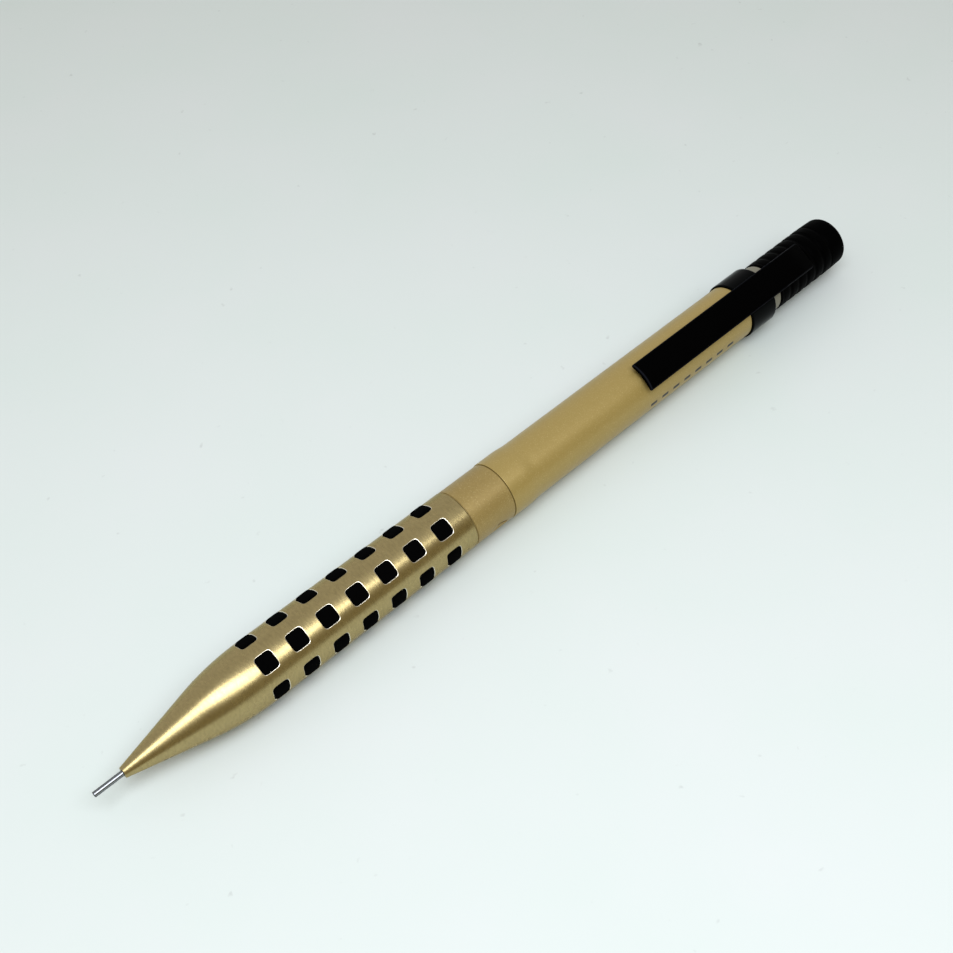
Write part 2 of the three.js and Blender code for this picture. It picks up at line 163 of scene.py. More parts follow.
@dataclass(frozen=True)
class Span:
    """The reach of a turned piece: from start to end along the axis, and its outer radius."""

    start: float
    end: float
    radius: float

    @classmethod
    def of(cls, node: str) -> "Span":
        """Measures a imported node.

        Args:
            node: the node's name.

        Returns:
            Its span in the pencil's frame, in millimetres.
        """
        low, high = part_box(node)
        start, end = ((x - PLACE.mouth_x) / MM for x in (low.x, high.x))
        return cls(start, end, (high.z - PLACE.axis_z) / MM)


def span_of(node: str) -> Span:
    """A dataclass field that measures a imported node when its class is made."""
    return field(default_factory=lambda: Span.of(node))


# ---- surfaces ----


@dataclass
class Grid:
    """One sheet of quads between rows and columns of points.

    Attributes:
        points: the points, as rows x columns x 3.
        loop_rows: whether the last row joins the first.
        loop_columns: whether the last column joins the first.
        cap_columns: whether a flat face closes the first and the last column.
        edge: where the finish's second colour goes, from 0 to 1, as rows x columns: bare metal,
            painted highlight and painted shade.
    """

    points: np.ndarray
    loop_rows: bool = False
    loop_columns: bool = True
    cap_columns: bool = False
    edge: Optional[np.ndarray] = None

    def quads(self) -> np.ndarray:
        """Joins each point to its neighbours in the next row and column.

        Returns:
            The corners of each quad, as indices into the flattened points.
        """
        rows, columns = self.points.shape[:2]
        index = np.arange(rows * columns).reshape(rows, columns)
        if self.loop_rows:
            index = np.vstack([index, index[:1]])
        if self.loop_columns:
            index = np.hstack([index, index[:, :1]])
        corners = [index[:-1, :-1], index[1:, :-1], index[1:, 1:], index[:-1, 1:]]
        return np.stack(corners, axis=-1).reshape(-1, 4)

    def caps(self) -> list[list[int]]:
        """The two faces that close the ends of a swept section, if it has them.

        Returns:
            The corners of each face, as indices into the flattened points.
        """
        rows, columns = self.points.shape[:2]
        first = np.arange(rows) * columns
        return [first.tolist(), (first + columns - 1)[::-1].tolist()] if self.cap_columns else []


def around(x: np.ndarray, radius: np.ndarray, angle: np.ndarray) -> np.ndarray:
    """Points at x along the axis, radius out from it and angle around it.

    The point is (x, -radius sin angle, radius cos angle), so that angle 0 is the clip's side.

    Args:
        x: distances along the axis.
        radius: distances from the axis.
        angle: angles about the axis, in radians.

    Returns:
        An array of points, one for each place where the three broadcast together.
    """
    return np.stack(np.broadcast_arrays(x, -radius * np.sin(angle), radius * np.cos(angle)), -1)


def rounded(corners: list[Corner], closed: bool = True, steps: int = 5) -> np.ndarray:
    """An outline whose corners are rounded.

    Each corner gives way to an arc that touches both of its sides. The arc's centre lies on the
    corner's bisector, at radius / sin(half the corner). A point close to each end of the arc
    keeps the flat beside it flat in the shading.

    Args:
        corners: (x, r, rounding) for each corner, in order.
        closed: whether the last corner joins the first.
        steps: how many pieces each arc is cut into.

    Returns:
        The outline's points, as n x 2.
    """
    at = [complex(x, r) for x, r, _ in corners]
    count = len(corners)
    outline: list[np.ndarray] = []
    for i, (here, (_, _, rounding)) in enumerate(zip(at, corners)):
        at_end = not closed and i in (0, count - 1)
        if rounding <= 0 or at_end:
            outline.append(np.array([here]))
            continue
        back = at[i - 1] - here
        ahead = at[(i + 1) % count] - here
        back, ahead = back / abs(back), ahead / abs(ahead)
        half = abs(np.angle(ahead / back)) / 2
        reach = rounding / math.tan(half)
        middle = here + (back + ahead) / abs(back + ahead) * rounding / math.sin(half)
        begin = here + back * reach - middle
        swing = np.angle((here + ahead * reach - middle) / begin)
        arc = middle + begin * np.exp(1j * swing * np.linspace(0, 1, steps + 1))
        guard = rounding * 0.3
        outline.append(np.concatenate([[arc[0] + back * guard], arc, [arc[-1] + ahead * guard]]))
    line = np.concatenate(outline)
    return np.stack([line.real, line.imag], axis=-1)


def stepped(radius: float, steps: tuple[Pair, ...]) -> list[Corner]:
    """The sharp corners of a bore that changes its radius in steps.

    Args:
        radius: the bore's radius before the first step.
        steps: (x, r) for each step: where it is, and the radius after it.

    Returns:
        Two corners for each step.
    """
    before = [radius, *[r for _, r in steps]]
    return [(x, r, 0) for (x, after), old in zip(steps, before) for r in (old, after)]


def turned(outline: np.ndarray, closed: bool = True, sides: int = 128) -> Grid:
    """A turned surface: the outline carried once around the axis.

    Args:
        outline: (x, r) points, as n x 2. An open one starts and ends on the axis.
        closed: whether the outline's last point joins its first.
        sides: how many flats the turn is cut into.

    Returns:
        The grid, with a row for each point and a column for each side.
    """
    angle = np.linspace(0, TURN, sides, endpoint=False)
    x, radius = outline[:, :1], outline[:, 1:]
    return Grid(around(x, radius, angle[None, :]), loop_rows=closed)


def smooth_step(value: np.ndarray) -> np.ndarray:
    """Runs from 0 to 1 with level ends: 3 t^2 - 2 t^3 of the value held between 0 and 1."""
    held = np.clip(value, 0.0, 1.0)
    return held * held * (3 - 2 * held)


def make_piece(name: str, grids: list[Grid], sharp_degrees: float = 35.0) -> bpy.types.Object:
    """Joins grids into one closed mesh object, placed in the row frame.

    Args:
        name: the piece's name.
        grids: its sheets, in the pencil's frame; where their borders meet they are welded.
        sharp_degrees: edges that turn by more than this stay crisp.

    Returns:
        The new object, at the origin, with its place in its mesh.
    """
    points, faces, wear_and_light, offset = [], [], [], 0
    for grid in grids:
        flat = grid.points.reshape(-1, 3)
        points.append(flat)
        faces += (grid.quads() + offset).tolist()
        faces += [[corner + offset for corner in cap] for cap in grid.caps()]
        wear_and_light.append(np.zeros(len(flat)) if grid.edge is None else grid.edge.reshape(-1))
        offset += len(flat)
    mesh = bpy.data.meshes.new(name)
    mesh.from_pydata(PLACE.to_row(np.concatenate(points)).tolist(), [], faces)
    # The marks for the second colour, which paints highlight and shade on some pieces.
    edge = mesh.attributes.new(WEAR_AND_LIGHT, "FLOAT", "POINT")
    edge.data.foreach_set("value", np.concatenate(wear_and_light).astype(np.float32))
    weld = bmesh.new()
    weld.from_mesh(mesh)
    bmesh.ops.remove_doubles(weld, verts=weld.verts, dist=WELD_REACH)
    bmesh.ops.recalc_face_normals(weld, faces=weld.faces)
    weld.to_mesh(mesh)
    weld.free()
    mesh.shade_smooth()
    mesh.set_sharp_from_angle(angle=math.radians(sharp_degrees))
    piece = bpy.data.objects.new(name, mesh)
    bpy.context.scene.collection.objects.link(piece)
    return piece


# ---- finishes ----


def linear(colour: int, alpha: float = 1.0) -> tuple[float, float, float, float]:
    """Turns an sRGB hex colour into the linear values that a shader takes.

    Args:
        colour: the colour as 0xRRGGBB.
        alpha: the fourth value.

    Returns:
        Red, green, blue and alpha.
    """
    channels = [((colour >> shift) & 255) / 255 for shift in (16, 8, 0)]
    parts = [c / 12.92 if c <= 0.04045 else ((c + 0.055) / 1.055) ** 2.4 for c in channels]
    return (*parts, alpha)


def add_node(
    tree: Tree,
    kind: str,
    inputs: Optional[dict[str | int, object]] = None,
    **settings: object,
) -> bpy.types.Node:
    """Adds a node, with its settings, values and links.

    Where names repeat, a socket goes by its number: a colour mix takes its two colours at 6 and
    7 and gives the mix at 2, and a sum takes its terms from 0 on.

    Args:
        tree: the node tree.
        kind: the node's type name without its ShaderNode prefix.
        inputs: for each input, a value or the socket that feeds it.
        settings: the node's own properties.

    Returns:
        The new node.
    """
    node = tree.nodes.new("ShaderNode" + kind)
    for name, value in settings.items():
        setattr(node, name, value)
    for key, value in (inputs or {}).items():
        if isinstance(value, Socket):
            tree.links.new(value, node.inputs[key])
        else:
            node.inputs[key].default_value = value
    return node


def empty_tree(owner: bpy.types.Material | bpy.types.World) -> Tree:
    """Switches on the nodes of a new material or world, and empties its tree.

    Args:
        owner: the material or world.

    Returns:
        Its empty node tree.
    """
    owner.use_nodes = True
    owner.node_tree.nodes.clear()
    return owner.node_tree


@dataclass(frozen=True)
class Finish:
    """A finish: what a piece is made of and how its surface was made.

    Attributes:
        name: the material's name.
        colour: its sRGB colour.
        roughness: how far its gloss spreads.
        metallic: 1 for a metal.
        grain: the size of its surface grain, in millimetres.
        relief: how deep that grain is, in millimetres.
        mottle: how far the colour strays with the grain, from 0 to 1.
        stray: the sRGB colour that it strays to.
        draw: how much longer the grain is along the axis than around it.
        shader: values set straight on the shader, by socket name.
    """

    name: str
    colour: int
    roughness: float
    metallic: float = 0.0
    grain: float = 0.2
    relief: float = 0.004
    mottle: float = 0.1
    stray: int = 0x000000
    draw: float = 1.0
    shader: tuple[tuple[str, object], ...] = ()

    def build(self) -> bpy.types.Material:
        """Makes the material: a grain in the pencil's own millimetres, then the shader.

        The roughness wanders by a fourteenth, over patches some millimetres long.

        Returns:
            The finished material.
        """
        material = bpy.data.materials.new(self.name)
        tree = empty_tree(material)
        local = self.local_millimetres(tree)
        colour, height = self.pattern(tree, local)
        bump = add_node(tree, "Bump", {"Height": height, "Distance": self.relief * MM})
        patches = self.grained(tree, local, PATCH_SIZE)
        wander = {"Value": patches, "From Min": 0.3, "From Max": 0.7,
                  "To Min": self.roughness * 0.93, "To Max": self.roughness * 1.07}
        inputs = {
            "Base Color": colour,
            "Metallic": self.metallic,
            "Roughness": add_node(tree, "MapRange", wander).outputs["Result"],
            "Normal": bump.outputs["Normal"],
        }
        shader = add_node(tree, "BsdfPrincipled", {**inputs, **dict(self.shader)})
        add_node(tree, "OutputMaterial", {"Surface": shader.outputs["BSDF"]})
        return material

    def local_millimetres(self, tree: Tree) -> Socket:
        """Turns object coordinates back into the pencil's own frame and millimetres.

        Args:
            tree: the material's node tree.

        Returns:
            The pencil's coordinates.
        """
        place = {
            "Vector": add_node(tree, "TexCoord").outputs["Object"],
            "Location": (PLACE.mouth_x, 0.0, PLACE.axis_z),
            "Rotation": (PLACE.roll, 0.0, 0.0),
            "Scale": (MM, MM, MM),
        }
        return add_node(tree, "Mapping", place, vector_type="TEXTURE").outputs["Vector"]

    def grained(self, tree: Tree, local: Socket, size: float, draw: float = 1.0) -> Socket:
        """Noise whose blobs are about size millimetres across, and draw times as long.

        Args:
            tree: the material's node tree.
            local: the pencil's coordinates.
            size: the width of a blob.
            draw: its length along the axis, as a multiple of its width.

        Returns:
            The noise's value, from 0 to 1.
        """
        shape = (1 / (size * draw), 1 / size, 1 / size)
        scaled = add_node(tree, "VectorMath", {0: local, 1: shape}, operation="MULTIPLY")
        inputs = {"Vector": scaled.outputs["Vector"], "Scale": 1.0, "Detail": 3.0, "Roughness": 0.6}
        return add_node(tree, "TexNoise", inputs).outputs["Fac"]

    def pattern(self, tree: Tree, local: Socket) -> tuple[Socket, Socket]:
        """The colour and the relief, both from the grain.

        Args:
            tree: the material's node tree.
            local: the pencil's coordinates.

        Returns:
            The colour and the height.
        """
        grain = self.grained(tree, local, self.grain, self.draw)
        limits = {"Value": grain, "From Min": 0.35, "From Max": 0.7, "To Max": self.mottle}
        share = add_node(tree, "MapRange", limits).outputs["Result"]
        parts = {"Factor": share, 6: linear(self.colour), 7: linear(self.stray)}
        return add_node(tree, "Mix", parts, data_type="RGBA").outputs[2], grain


@dataclass(frozen=True)
class WearAndLightFinish(Finish):
    """A finish with a second colour on marked edges and recesses: bare metal and painted highlight on
    the grip's rims, painted highlight on the clip's edges, painted shade in the ring's slot.

    Attributes:
        wear_and_light_colour: the sRGB colour where the piece's wear_and_painted_light attribute is
            1.
    """

    wear_and_light_colour: int = 0xFFFFFF

    def pattern(self, tree: Tree, local: Socket) -> tuple[Socket, Socket]:
        """Mixes the second colour into the grain's colour where the attribute marks it:
        worn metal, painted highlight and painted shade.

        Args:
            tree: the material's node tree.
            local: the pencil's coordinates.

        Returns:
            The colour and the height.
        """
        colour, grain = super().pattern(tree, local)
        # The attribute marks bare rim metal with painted highlight, painted highlight on edges, and
        # painted shade in recesses.
        wear_and_light = add_node(tree, "Attribute", attribute_name=WEAR_AND_LIGHT).outputs["Fac"]
        parts = {"Factor": wear_and_light, 6: colour, 7: linear(self.wear_and_light_colour)}
        return add_node(tree, "Mix", parts, data_type="RGBA").outputs[2], grain


@dataclass(frozen=True)
class FlakeLacquer(WearAndLightFinish):
    """Sprayed metallic lacquer over moulded plastic: tiny flakes under a soft gloss.

    Attributes:
        flake: the size of a flake, in millimetres.
        flake_colour: the sRGB colour of the flakes that catch the light.
    """

    flake: float = 0.09
    flake_colour: int = 0xD8C48C

    def pattern(self, tree: Tree, local: Socket) -> tuple[Socket, Socket]:
        """Adds single flakes, as the brightest cells of a fine cell pattern.

        Args:
            tree: the material's node tree.
            local: the pencil's coordinates.

        Returns:
            The colour and the height.
        """
        colour, grain = super().pattern(tree, local)
        cells = add_node(tree, "TexVoronoi", {"Vector": local, "Scale": 1 / self.flake})
        limits = {"Value": cells.outputs["Color"], "From Min": 0.72, "To Max": 0.35}
        sparkle = add_node(tree, "MapRange", limits).outputs["Result"]
        parts = {"Factor": sparkle, 6: colour, 7: linear(self.flake_colour)}
        return add_node(tree, "Mix", parts, data_type="RGBA").outputs[2], grain


@dataclass(frozen=True)
class PrintedLacquer(FlakeLacquer):
    """Lacquer with one row of short printed dashes along the barrel.

    Attributes:
        ink: the sRGB colour of the print.
        row: where the row starts and ends along the axis, in millimetres.
        pitch: from one dash to the next, in millimetres.
        length: how long a dash is, in millimetres.
        height: how tall a dash is, in millimetres.
        angle: where the row is around the barrel, from the clip's side towards -Y, in degrees.
        radius: the barrel's radius there, in millimetres.
    """

    ink: int = 0x120E08
    row: Pair = (93.6, 112.6)
    pitch: float = 2.4
    length: float = 1.3
    height: float = 0.6
    angle: float = 65.0
    radius: float = 4.29

    def pattern(self, tree: Tree, local: Socket) -> tuple[Socket, Socket]:
        """Adds the dashes: (x - start) mod pitch < length, in a band around angle.

        The band is |atan2(y, z) + angle| < half the height / radius, and the row is |x - middle|
        < half its length. A dash shows where all three tests are 1, so they are multiplied.

        Args:
            tree: the material's node tree.
            local: the pencil's coordinates.

        Returns:
            The colour and the height.
        """
        colour, grain = super().pattern(tree, local)
        start, end = self.row
        axes = add_node(tree, "SeparateXYZ", {"Vector": local}).outputs
        turn = add_node(tree, "Math", {0: axes["Y"], 1: axes["Z"]}, operation="ARCTAN2")
        tall = {0: turn.outputs[0], 1: -math.radians(self.angle), 2: self.height / 2 / self.radius}
        band = add_node(tree, "Math", tall, operation="COMPARE")
        wide = {0: axes["X"], 1: (start + end) / 2, 2: (end - start) / 2}
        inside = add_node(tree, "Math", wide, operation="COMPARE")
        along = add_node(tree, "Math", {0: axes["X"], 1: start}, operation="SUBTRACT")
        turns = {0: along.outputs[0], 1: self.pitch}
        phase = add_node(tree, "Math", turns, operation="FLOORED_MODULO")
        mask = add_node(tree, "Math", {0: phase.outputs[0], 1: self.length}, operation="LESS_THAN")
        for test in (band, inside):
            both = {0: mask.outputs[0], 1: test.outputs[0]}
            mask = add_node(tree, "Math", both, operation="MULTIPLY")
        parts = {"Factor": mask.outputs[0], 6: colour, 7: linear(self.ink)}
        return add_node(tree, "Mix", parts, data_type="RGBA").outputs[2], grain


class Slot(Enum):
    """The record's material slots."""

    GRIP = "grip_metal"
    RUBBER = "nub_rubber"
    PIPE = "pipe_steel"
    RING = "ring_plastic"
    BARREL = "barrel_plastic"
    COLLAR = "collar_plastic"
    CAP = "cap_plastic"
    NECK = "neck_plastic"
    BRASS = "brass_parts"
    SPRING = "spring_steel"
    TANK = "tank_plastic"
    INNER = "inner_plastic"
    VINYL = "eraser_vinyl"
    LEAD = "lead_graphite"


# What some finishes set straight on the shader: a black skin that mirrors almost nothing, a
# metal whose rim stays grey, and a clear coat over a metal whose rim stays gold.
BLACK_SKIN = (("Specular IOR Level", 0.008),)
DARK_RIM = (("Specular Tint", linear(0x606266)),)
CLEAR_COAT = (
    ("Coat Weight", 0.75),
    ("Coat Roughness", 0.3),
    ("Coat IOR", 1.5),
    ("Specular Tint", linear(0xBCAE84)),
)

FINISHES: dict[Slot, Finish] = {
    # Anodised aluminium, blasted after turning: pale gold, with a soft highlight along the grip,
    # broken into short strokes. The turning marks are drawn coarser than real, to be seen. The
    # window rims take a near-white colour: bare metal where the anodising is cut, made whiter as a
    # painted highlight.
    Slot.GRIP: WearAndLightFinish(
        "anodised_champagne", 0xAC9964, 0.27, 1.0, grain=0.7, relief=0.009,
        mottle=0.38, stray=0x7C6C42, draw=0.4, shader=CLEAR_COAT, wear_and_light_colour=0xFFF8E6,
    ),
    # Moulded thermoplastic rubber: near black, with a matt skin.
    Slot.RUBBER: Finish(
        "moulded_rubber", 0x020202, 0.75, grain=0.12, relief=0.006,
        mottle=0.5, stray=0x070707, shader=BLACK_SKIN,
    ),
    # Drawn stainless tube: bright, with fine lines along it.
    Slot.PIPE: Finish(
        "drawn_steel", 0x85878A, 0.16, 1.0, grain=0.03, relief=0.0006,
        mottle=0.3, stray=0x606266, draw=30.0, shader=DARK_RIM,
    ),
    # Sprayed lacquer over plastic, on the ring: a little darker and flakier than the barrel,
    # and dark brown in the depth of its slot as painted shade.
    Slot.RING: FlakeLacquer(
        "flake_lacquer_ring", 0x9A834B, 0.42, 0.35, grain=0.25, relief=0.002,
        mottle=0.25, stray=0x745F34, flake=0.11, wear_and_light_colour=0x2E2416,
    ),
    # Sprayed lacquer over plastic, on the barrel: warm beige gold with a broad, soft sheen.
    Slot.BARREL: PrintedLacquer(
        "flake_lacquer_barrel", 0xA28B4E, 0.38, 0.3, grain=0.4, relief=0.0015,
        mottle=0.12, stray=0x8C7942, flake=0.08,
    ),
    # Polished ABS: black with clear reflections.
    Slot.COLLAR: Finish(
        "polished_abs", 0x010202, 0.12, grain=0.6, relief=0.0008,
        mottle=0.2, stray=0x040505, shader=(("Specular IOR Level", 0.03),),
    ),
    # Moulded ABS from an etched tool: deep black, with a grey painted highlight along the clip's
    # edges.
    Slot.CAP: WearAndLightFinish(
        "etched_abs", 0x010101, 0.45, grain=0.09, relief=0.002,
        mottle=0.4, stray=0x030303, shader=BLACK_SKIN, wear_and_light_colour=0x14151A,
    ),
    # Moulded acetal: pale warm grey, set darker here as painted shade from the cap and the collar.
    Slot.NECK: Finish(
        "moulded_acetal_pale", 0x757160, 0.45, grain=0.3, relief=0.001,
        mottle=0.15, stray=0x7A745C,
    ),
    # Turned brass: yellow, with fine rings from the lathe.
    Slot.BRASS: Finish(
        "turned_brass", 0xC9A65A, 0.28, 1.0, grain=0.05, relief=0.0012,
        mottle=0.3, stray=0x8F7136, draw=0.15,
    ),
    # Drawn spring wire: grey and bright.
    Slot.SPRING: Finish(
        "spring_wire", 0xA9ABAE, 0.25, 1.0, grain=0.05, relief=0.0006,
        mottle=0.2, stray=0x6E7074,
    ),
    # Extruded polypropylene: milky, lets some light through.
    Slot.TANK: Finish(
        "milky_polypropylene", 0xD9DEDF, 0.3, grain=0.5, relief=0.001,
        mottle=0.15, stray=0xBFC7CA, shader=(("Transmission Weight", 0.35),),
    ),
    # Moulded acetal, dyed: dark grey.
    Slot.INNER: Finish(
        "dyed_acetal", 0x2A2B2D, 0.45, grain=0.2, relief=0.001,
        mottle=0.3, stray=0x1C1D1F,
    ),
    # Cast vinyl: soft white, slightly warm.
    Slot.VINYL: Finish(
        "cast_vinyl", 0xEFEDE6, 0.7, grain=0.35, relief=0.004,
        mottle=0.2, stray=0xDCD8CC,
    ),
    # Fired graphite and clay: dark grey with a faint sheen.
    Slot.LEAD: Finish(
        "fired_graphite", 0x2B2C30, 0.4, 0.3, grain=0.06, relief=0.002,
        mottle=0.4, stray=0x17181A,
    ),
}


@dataclass
class Unit:
    """A sub-assembly: it builds its pieces, dresses them and hands them to their bodies."""

    materials: dict[Slot, bpy.types.Material]
    pieces: list[bpy.types.Object] = field(default_factory=list)

    def settle(
        self, name: str, grids: list[Grid], body: Body, slot: Slot, sharp: float = 35.0
    ) -> bpy.types.Object:
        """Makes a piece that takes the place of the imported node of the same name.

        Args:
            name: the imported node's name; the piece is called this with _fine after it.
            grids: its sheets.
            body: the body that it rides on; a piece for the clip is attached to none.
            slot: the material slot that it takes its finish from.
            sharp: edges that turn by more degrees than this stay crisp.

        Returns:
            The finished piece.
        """
        piece = make_piece(f"{name}_fine", grids, sharp)
        piece.data.materials.append(self.materials[slot])
        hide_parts(name)
        if body is not Body.CLIP:
            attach(piece, body.value)
        self.pieces.append(piece)
        return piece

    def lathe(
        self,
        name: str,
        body: Body,
        slot: Slot,
        corners: list[Corner],
        closed: bool = True,
        sides: int = 128,
    ) -> bpy.types.Object:
        """Makes a piece that is one turned outline.

        Args:
            name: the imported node's name.
            body: the body that it rides on.
            slot: the material slot that it takes its finish from.
            corners: (x, r, rounding) for each corner of the outline.
            closed: whether the outline's last corner joins its first.
            sides: how many flats the turn is cut into.

        Returns:
            The finished piece.
        """
        return self.settle(name, [turned(rounded(corners, closed), closed, sides)], body, slot)

    def report(self) -> None:
        """Logs each piece with its number of faces."""
        for piece in self.pieces:
            log.info("%s: %s, %d faces", type(self).__name__, piece.name, len(piece.data.polygons))


# ---- the grip ----


@dataclass(frozen=True)
class WindowPlan:
    """Where the windows are in the grip, and their shape.

    Attributes:
        rows: how many rows there are around the grip.
        per_row: how many windows a row has.
        first: where the first one's middle is along the axis, in millimetres.
        pitch: from one middle to the next, in millimetres.
        half: half a window's width, in millimetres.
        squareness: the superellipse's exponent; 2 is a circle and more is squarer.
        side_points: how many points each side of a cell has.
    """

    rows: int = 6
    per_row: int = 7
    first: float = 25.3
    pitch: float = 4.92
    half: float = 1.25
    squareness: float = 5.4
    side_points: int = 16

    @property
    def front(self) -> float:
        """Where the first cell starts."""
        return self.first - self.pitch / 2

    @property
    def rear(self) -> float:
        """Where the last cell ends."""
        return self.front + self.per_row * self.pitch

    @property
    def half_angle(self) -> float:
        """Half the angle that a cell takes up around the grip."""
        return math.pi / self.rows

    @property
    def sides(self) -> int:
        """The columns that a turned surface needs to meet the cells point for point."""
        return self.rows * self.side_points

    def square(self) -> np.ndarray:
        """Points around the square from (-1, -1) to (1, 1).

        Returns:
            The points, as n x 2.
        """
        t = np.linspace(-1, 1, self.side_points, endpoint=False)
        one = np.ones_like(t)
        sides = [(one, t), (-t, one), (-one, -t), (t, -one)]
        return np.concatenate([np.stack(side, axis=-1) for side in sides])

    def rim(self, half: float) -> np.ndarray:
        """The window's outline: |a/half|^n + |b/half|^n = 1, on the rays through the square.

        Args:
            half: half the outline's width, in millimetres.

        Returns:
            (a, b) points, a along the axis and b across it.
        """
        square = self.square()
        spread = (np.abs(square) ** self.squareness).sum(axis=1, keepdims=True)
        return half * square / spread ** (1 / self.squareness)

    def centres(self) -> list[tuple[float, float]]:
        """The (x, angle) of each window's middle."""
        xs = [self.first + i * self.pitch for i in range(self.per_row)]
        return [(x, row * TURN / self.rows) for row in range(self.rows) for x in xs]


@dataclass
class GripUnit(Unit):
    """The metal nose and grip, the rubber sleeve under it, and the core tube with its thread."""

    shell: Span = span_of("grip_shell")
    rubber: Span = span_of("rubber_grip")
    core: Span = span_of("grip_core")
    windows: WindowPlan = field(default_factory=WindowPlan)
    bore: float = 3.96
    nose_radius: float = 0.75
    cone_end: Pair = (15.5, 3.42)
    curve_control_x: float = 19.9
    curve_end_x: float = 24.5
    rear_radius: float = 4.42
    rim_round: float = 0.09
    sleeve_radius: float = 3.88
    nub_half: float = 1.17
    nub_top: float = 4.6
    nub_round: float = 0.2
    nub_crown: float = 0.07
    thread_pitch: float = 1.0
    thread_depth: float = 0.16
    thread_from: float = 59.9
    tip_bore: float = 0.42
    tip_edge: float = 0.2
    bore_steps: tuple[Pair, ...] = ((7.8, 1.05), (10.6, 1.75), (12.4, 2.2), (21.95, 3.45))
    sleeve_gap: float = 0.05
    core_bore: float = 3.05

    def outside(self, x: np.ndarray) -> np.ndarray:
        """The shell's outer radius at x.

        A straight cone, then a parabola (a quadratic curve whose control point lies at grip
        height, so it meets the grip level), then a grip that narrows a little to the rear.

        Args:
            x: places along the axis.

        Returns:
            The radius at each of them.
        """
        x0, r0 = self.cone_end
        x1, x2, top = self.curve_control_x, self.curve_end_x, self.shell.radius
        bend = x0 - 2 * x1 + x2
        held = np.clip(x, x0, x2)
        t = (x0 - x1 + np.sqrt((x1 - x0) ** 2 + bend * (held - x0))) / bend
        curve = (1 - t) ** 2 * r0 + (1 - (1 - t) ** 2) * top
        slope = (r0 - self.nose_radius) / (x0 - self.shell.start)
        cone = r0 + slope * (x - x0)
        share = np.clip((x - x2) / (self.shell.end - x2), 0, 1)
        grip = top + (self.rear_radius - top) * share
        return np.where(x < x0, cone, np.where(x < x2, curve, grip))

    def window_cell(self, x: float, angle: float) -> Grid:
        """One window with the metal around it: outside, rounded rim, wall and inside.

        The rings run from the cell's border to the rim by a straight mix of the two, over the
        rim along a quarter circle, down the wall, and back to the border on the bore. The rings
        over the rim are marked for the finish's near-white colour: bare metal and painted highlight.

        Args:
            x: the window's middle along the axis.
            angle: its angle around the axis.

        Returns:
            The cell's grid, with a row for each ring.
        """
        plan = self.windows
        border = plan.square() * (plan.pitch / 2, plan.half_angle)
        xs, angles, radii, wear_and_light = [], [], [], []

        def ring(half: float, share: float, depth: float, bored: bool, worn: float) -> None:
            """Adds a ring of points.

            Args:
                half: half the window's width at this ring.
                share: how far the ring is from the cell's border to the window.
                depth: how far it lies under the outer surface.
                bored: whether it lies on the bore instead.
                worn: how much of the near-white rim colour it takes, from 0 to 1: bare metal and
                    painted highlight.
            """
            rim = plan.rim(half)
            rim_x = x + rim[:, 0]
            rim_r = np.full_like(rim_x, self.bore) if bored else self.outside(rim_x) - depth
            rim_angle = np.arcsin(rim[:, 1] / rim_r)
            at_x = x + (1 - share) * border[:, 0] + share * rim[:, 0]
            xs.append(at_x)
            angles.append(angle + (1 - share) * border[:, 1] + share * rim_angle)
            radii.append(np.full_like(at_x, self.bore) if bored else self.outside(at_x) - depth)
            wear_and_light.append(np.full_like(at_x, worn))

        wide = plan.half + self.rim_round
        for share in (0.0, 0.2, 0.4, 0.6, 0.8, 0.94, 1.0):
            ring(wide, share, 0.0, False, 0.0)
        # The rim's rings take the near-white colour: bare metal and painted highlight.
        for step in np.linspace(0, math.pi / 2, 6)[1:]:
            half = wide - self.rim_round * math.sin(step)
            ring(half, 1.0, self.rim_round * (1 - math.cos(step)), False, 1.0)
        for share in (1.0, 0.5, 0.0):
            ring(plan.half, share, 0.0, True, 0.0)
        points = around(np.array(xs), np.array(radii), np.array(angles))
        return Grid(points, edge=np.array(wear_and_light))

    def shell_front(self) -> Grid:
        """The nose: outside from the first cells to the tip, and back along the bore.

        Returns:
            The nose's grid, which meets the cells point for point.
        """
        front, span = self.windows.front, self.shell
        curve_x = np.linspace(front, self.cone_end[0], 28)
        cone_x = np.linspace(self.cone_end[0], span.start + self.tip_edge, 20)[1:]
        outer_x = np.concatenate([curve_x, cone_x])
        outer = np.stack([outer_x, self.outside(outer_x)], axis=-1)
        tip = rounded([
            (outer_x[-1], outer[-1, 1], 0), (span.start, self.nose_radius, 0.09),
            (span.start, self.tip_bore, 0.03),
            *stepped(self.tip_bore, (*self.bore_steps, (front, self.bore))),
        ], closed=False)
        return turned(np.concatenate([outer, tip[1:]]), closed=False, sides=self.windows.sides)

    def shell_rear(self) -> Grid:
        """The rear band: outside from the last cells to the joint, and back along the bore.

        Returns:
            The band's grid, which meets the cells point for point.
        """
        rear, span = self.windows.rear, self.shell
        start = float(self.outside(np.array(rear)))
        outline = rounded([
            (rear, start, 0), (span.end, self.rear_radius, 0.05), (span.end, self.bore, 0.05),
            (rear, self.bore, 0),
        ], closed=False)
        return turned(outline, closed=False, sides=self.windows.sides)

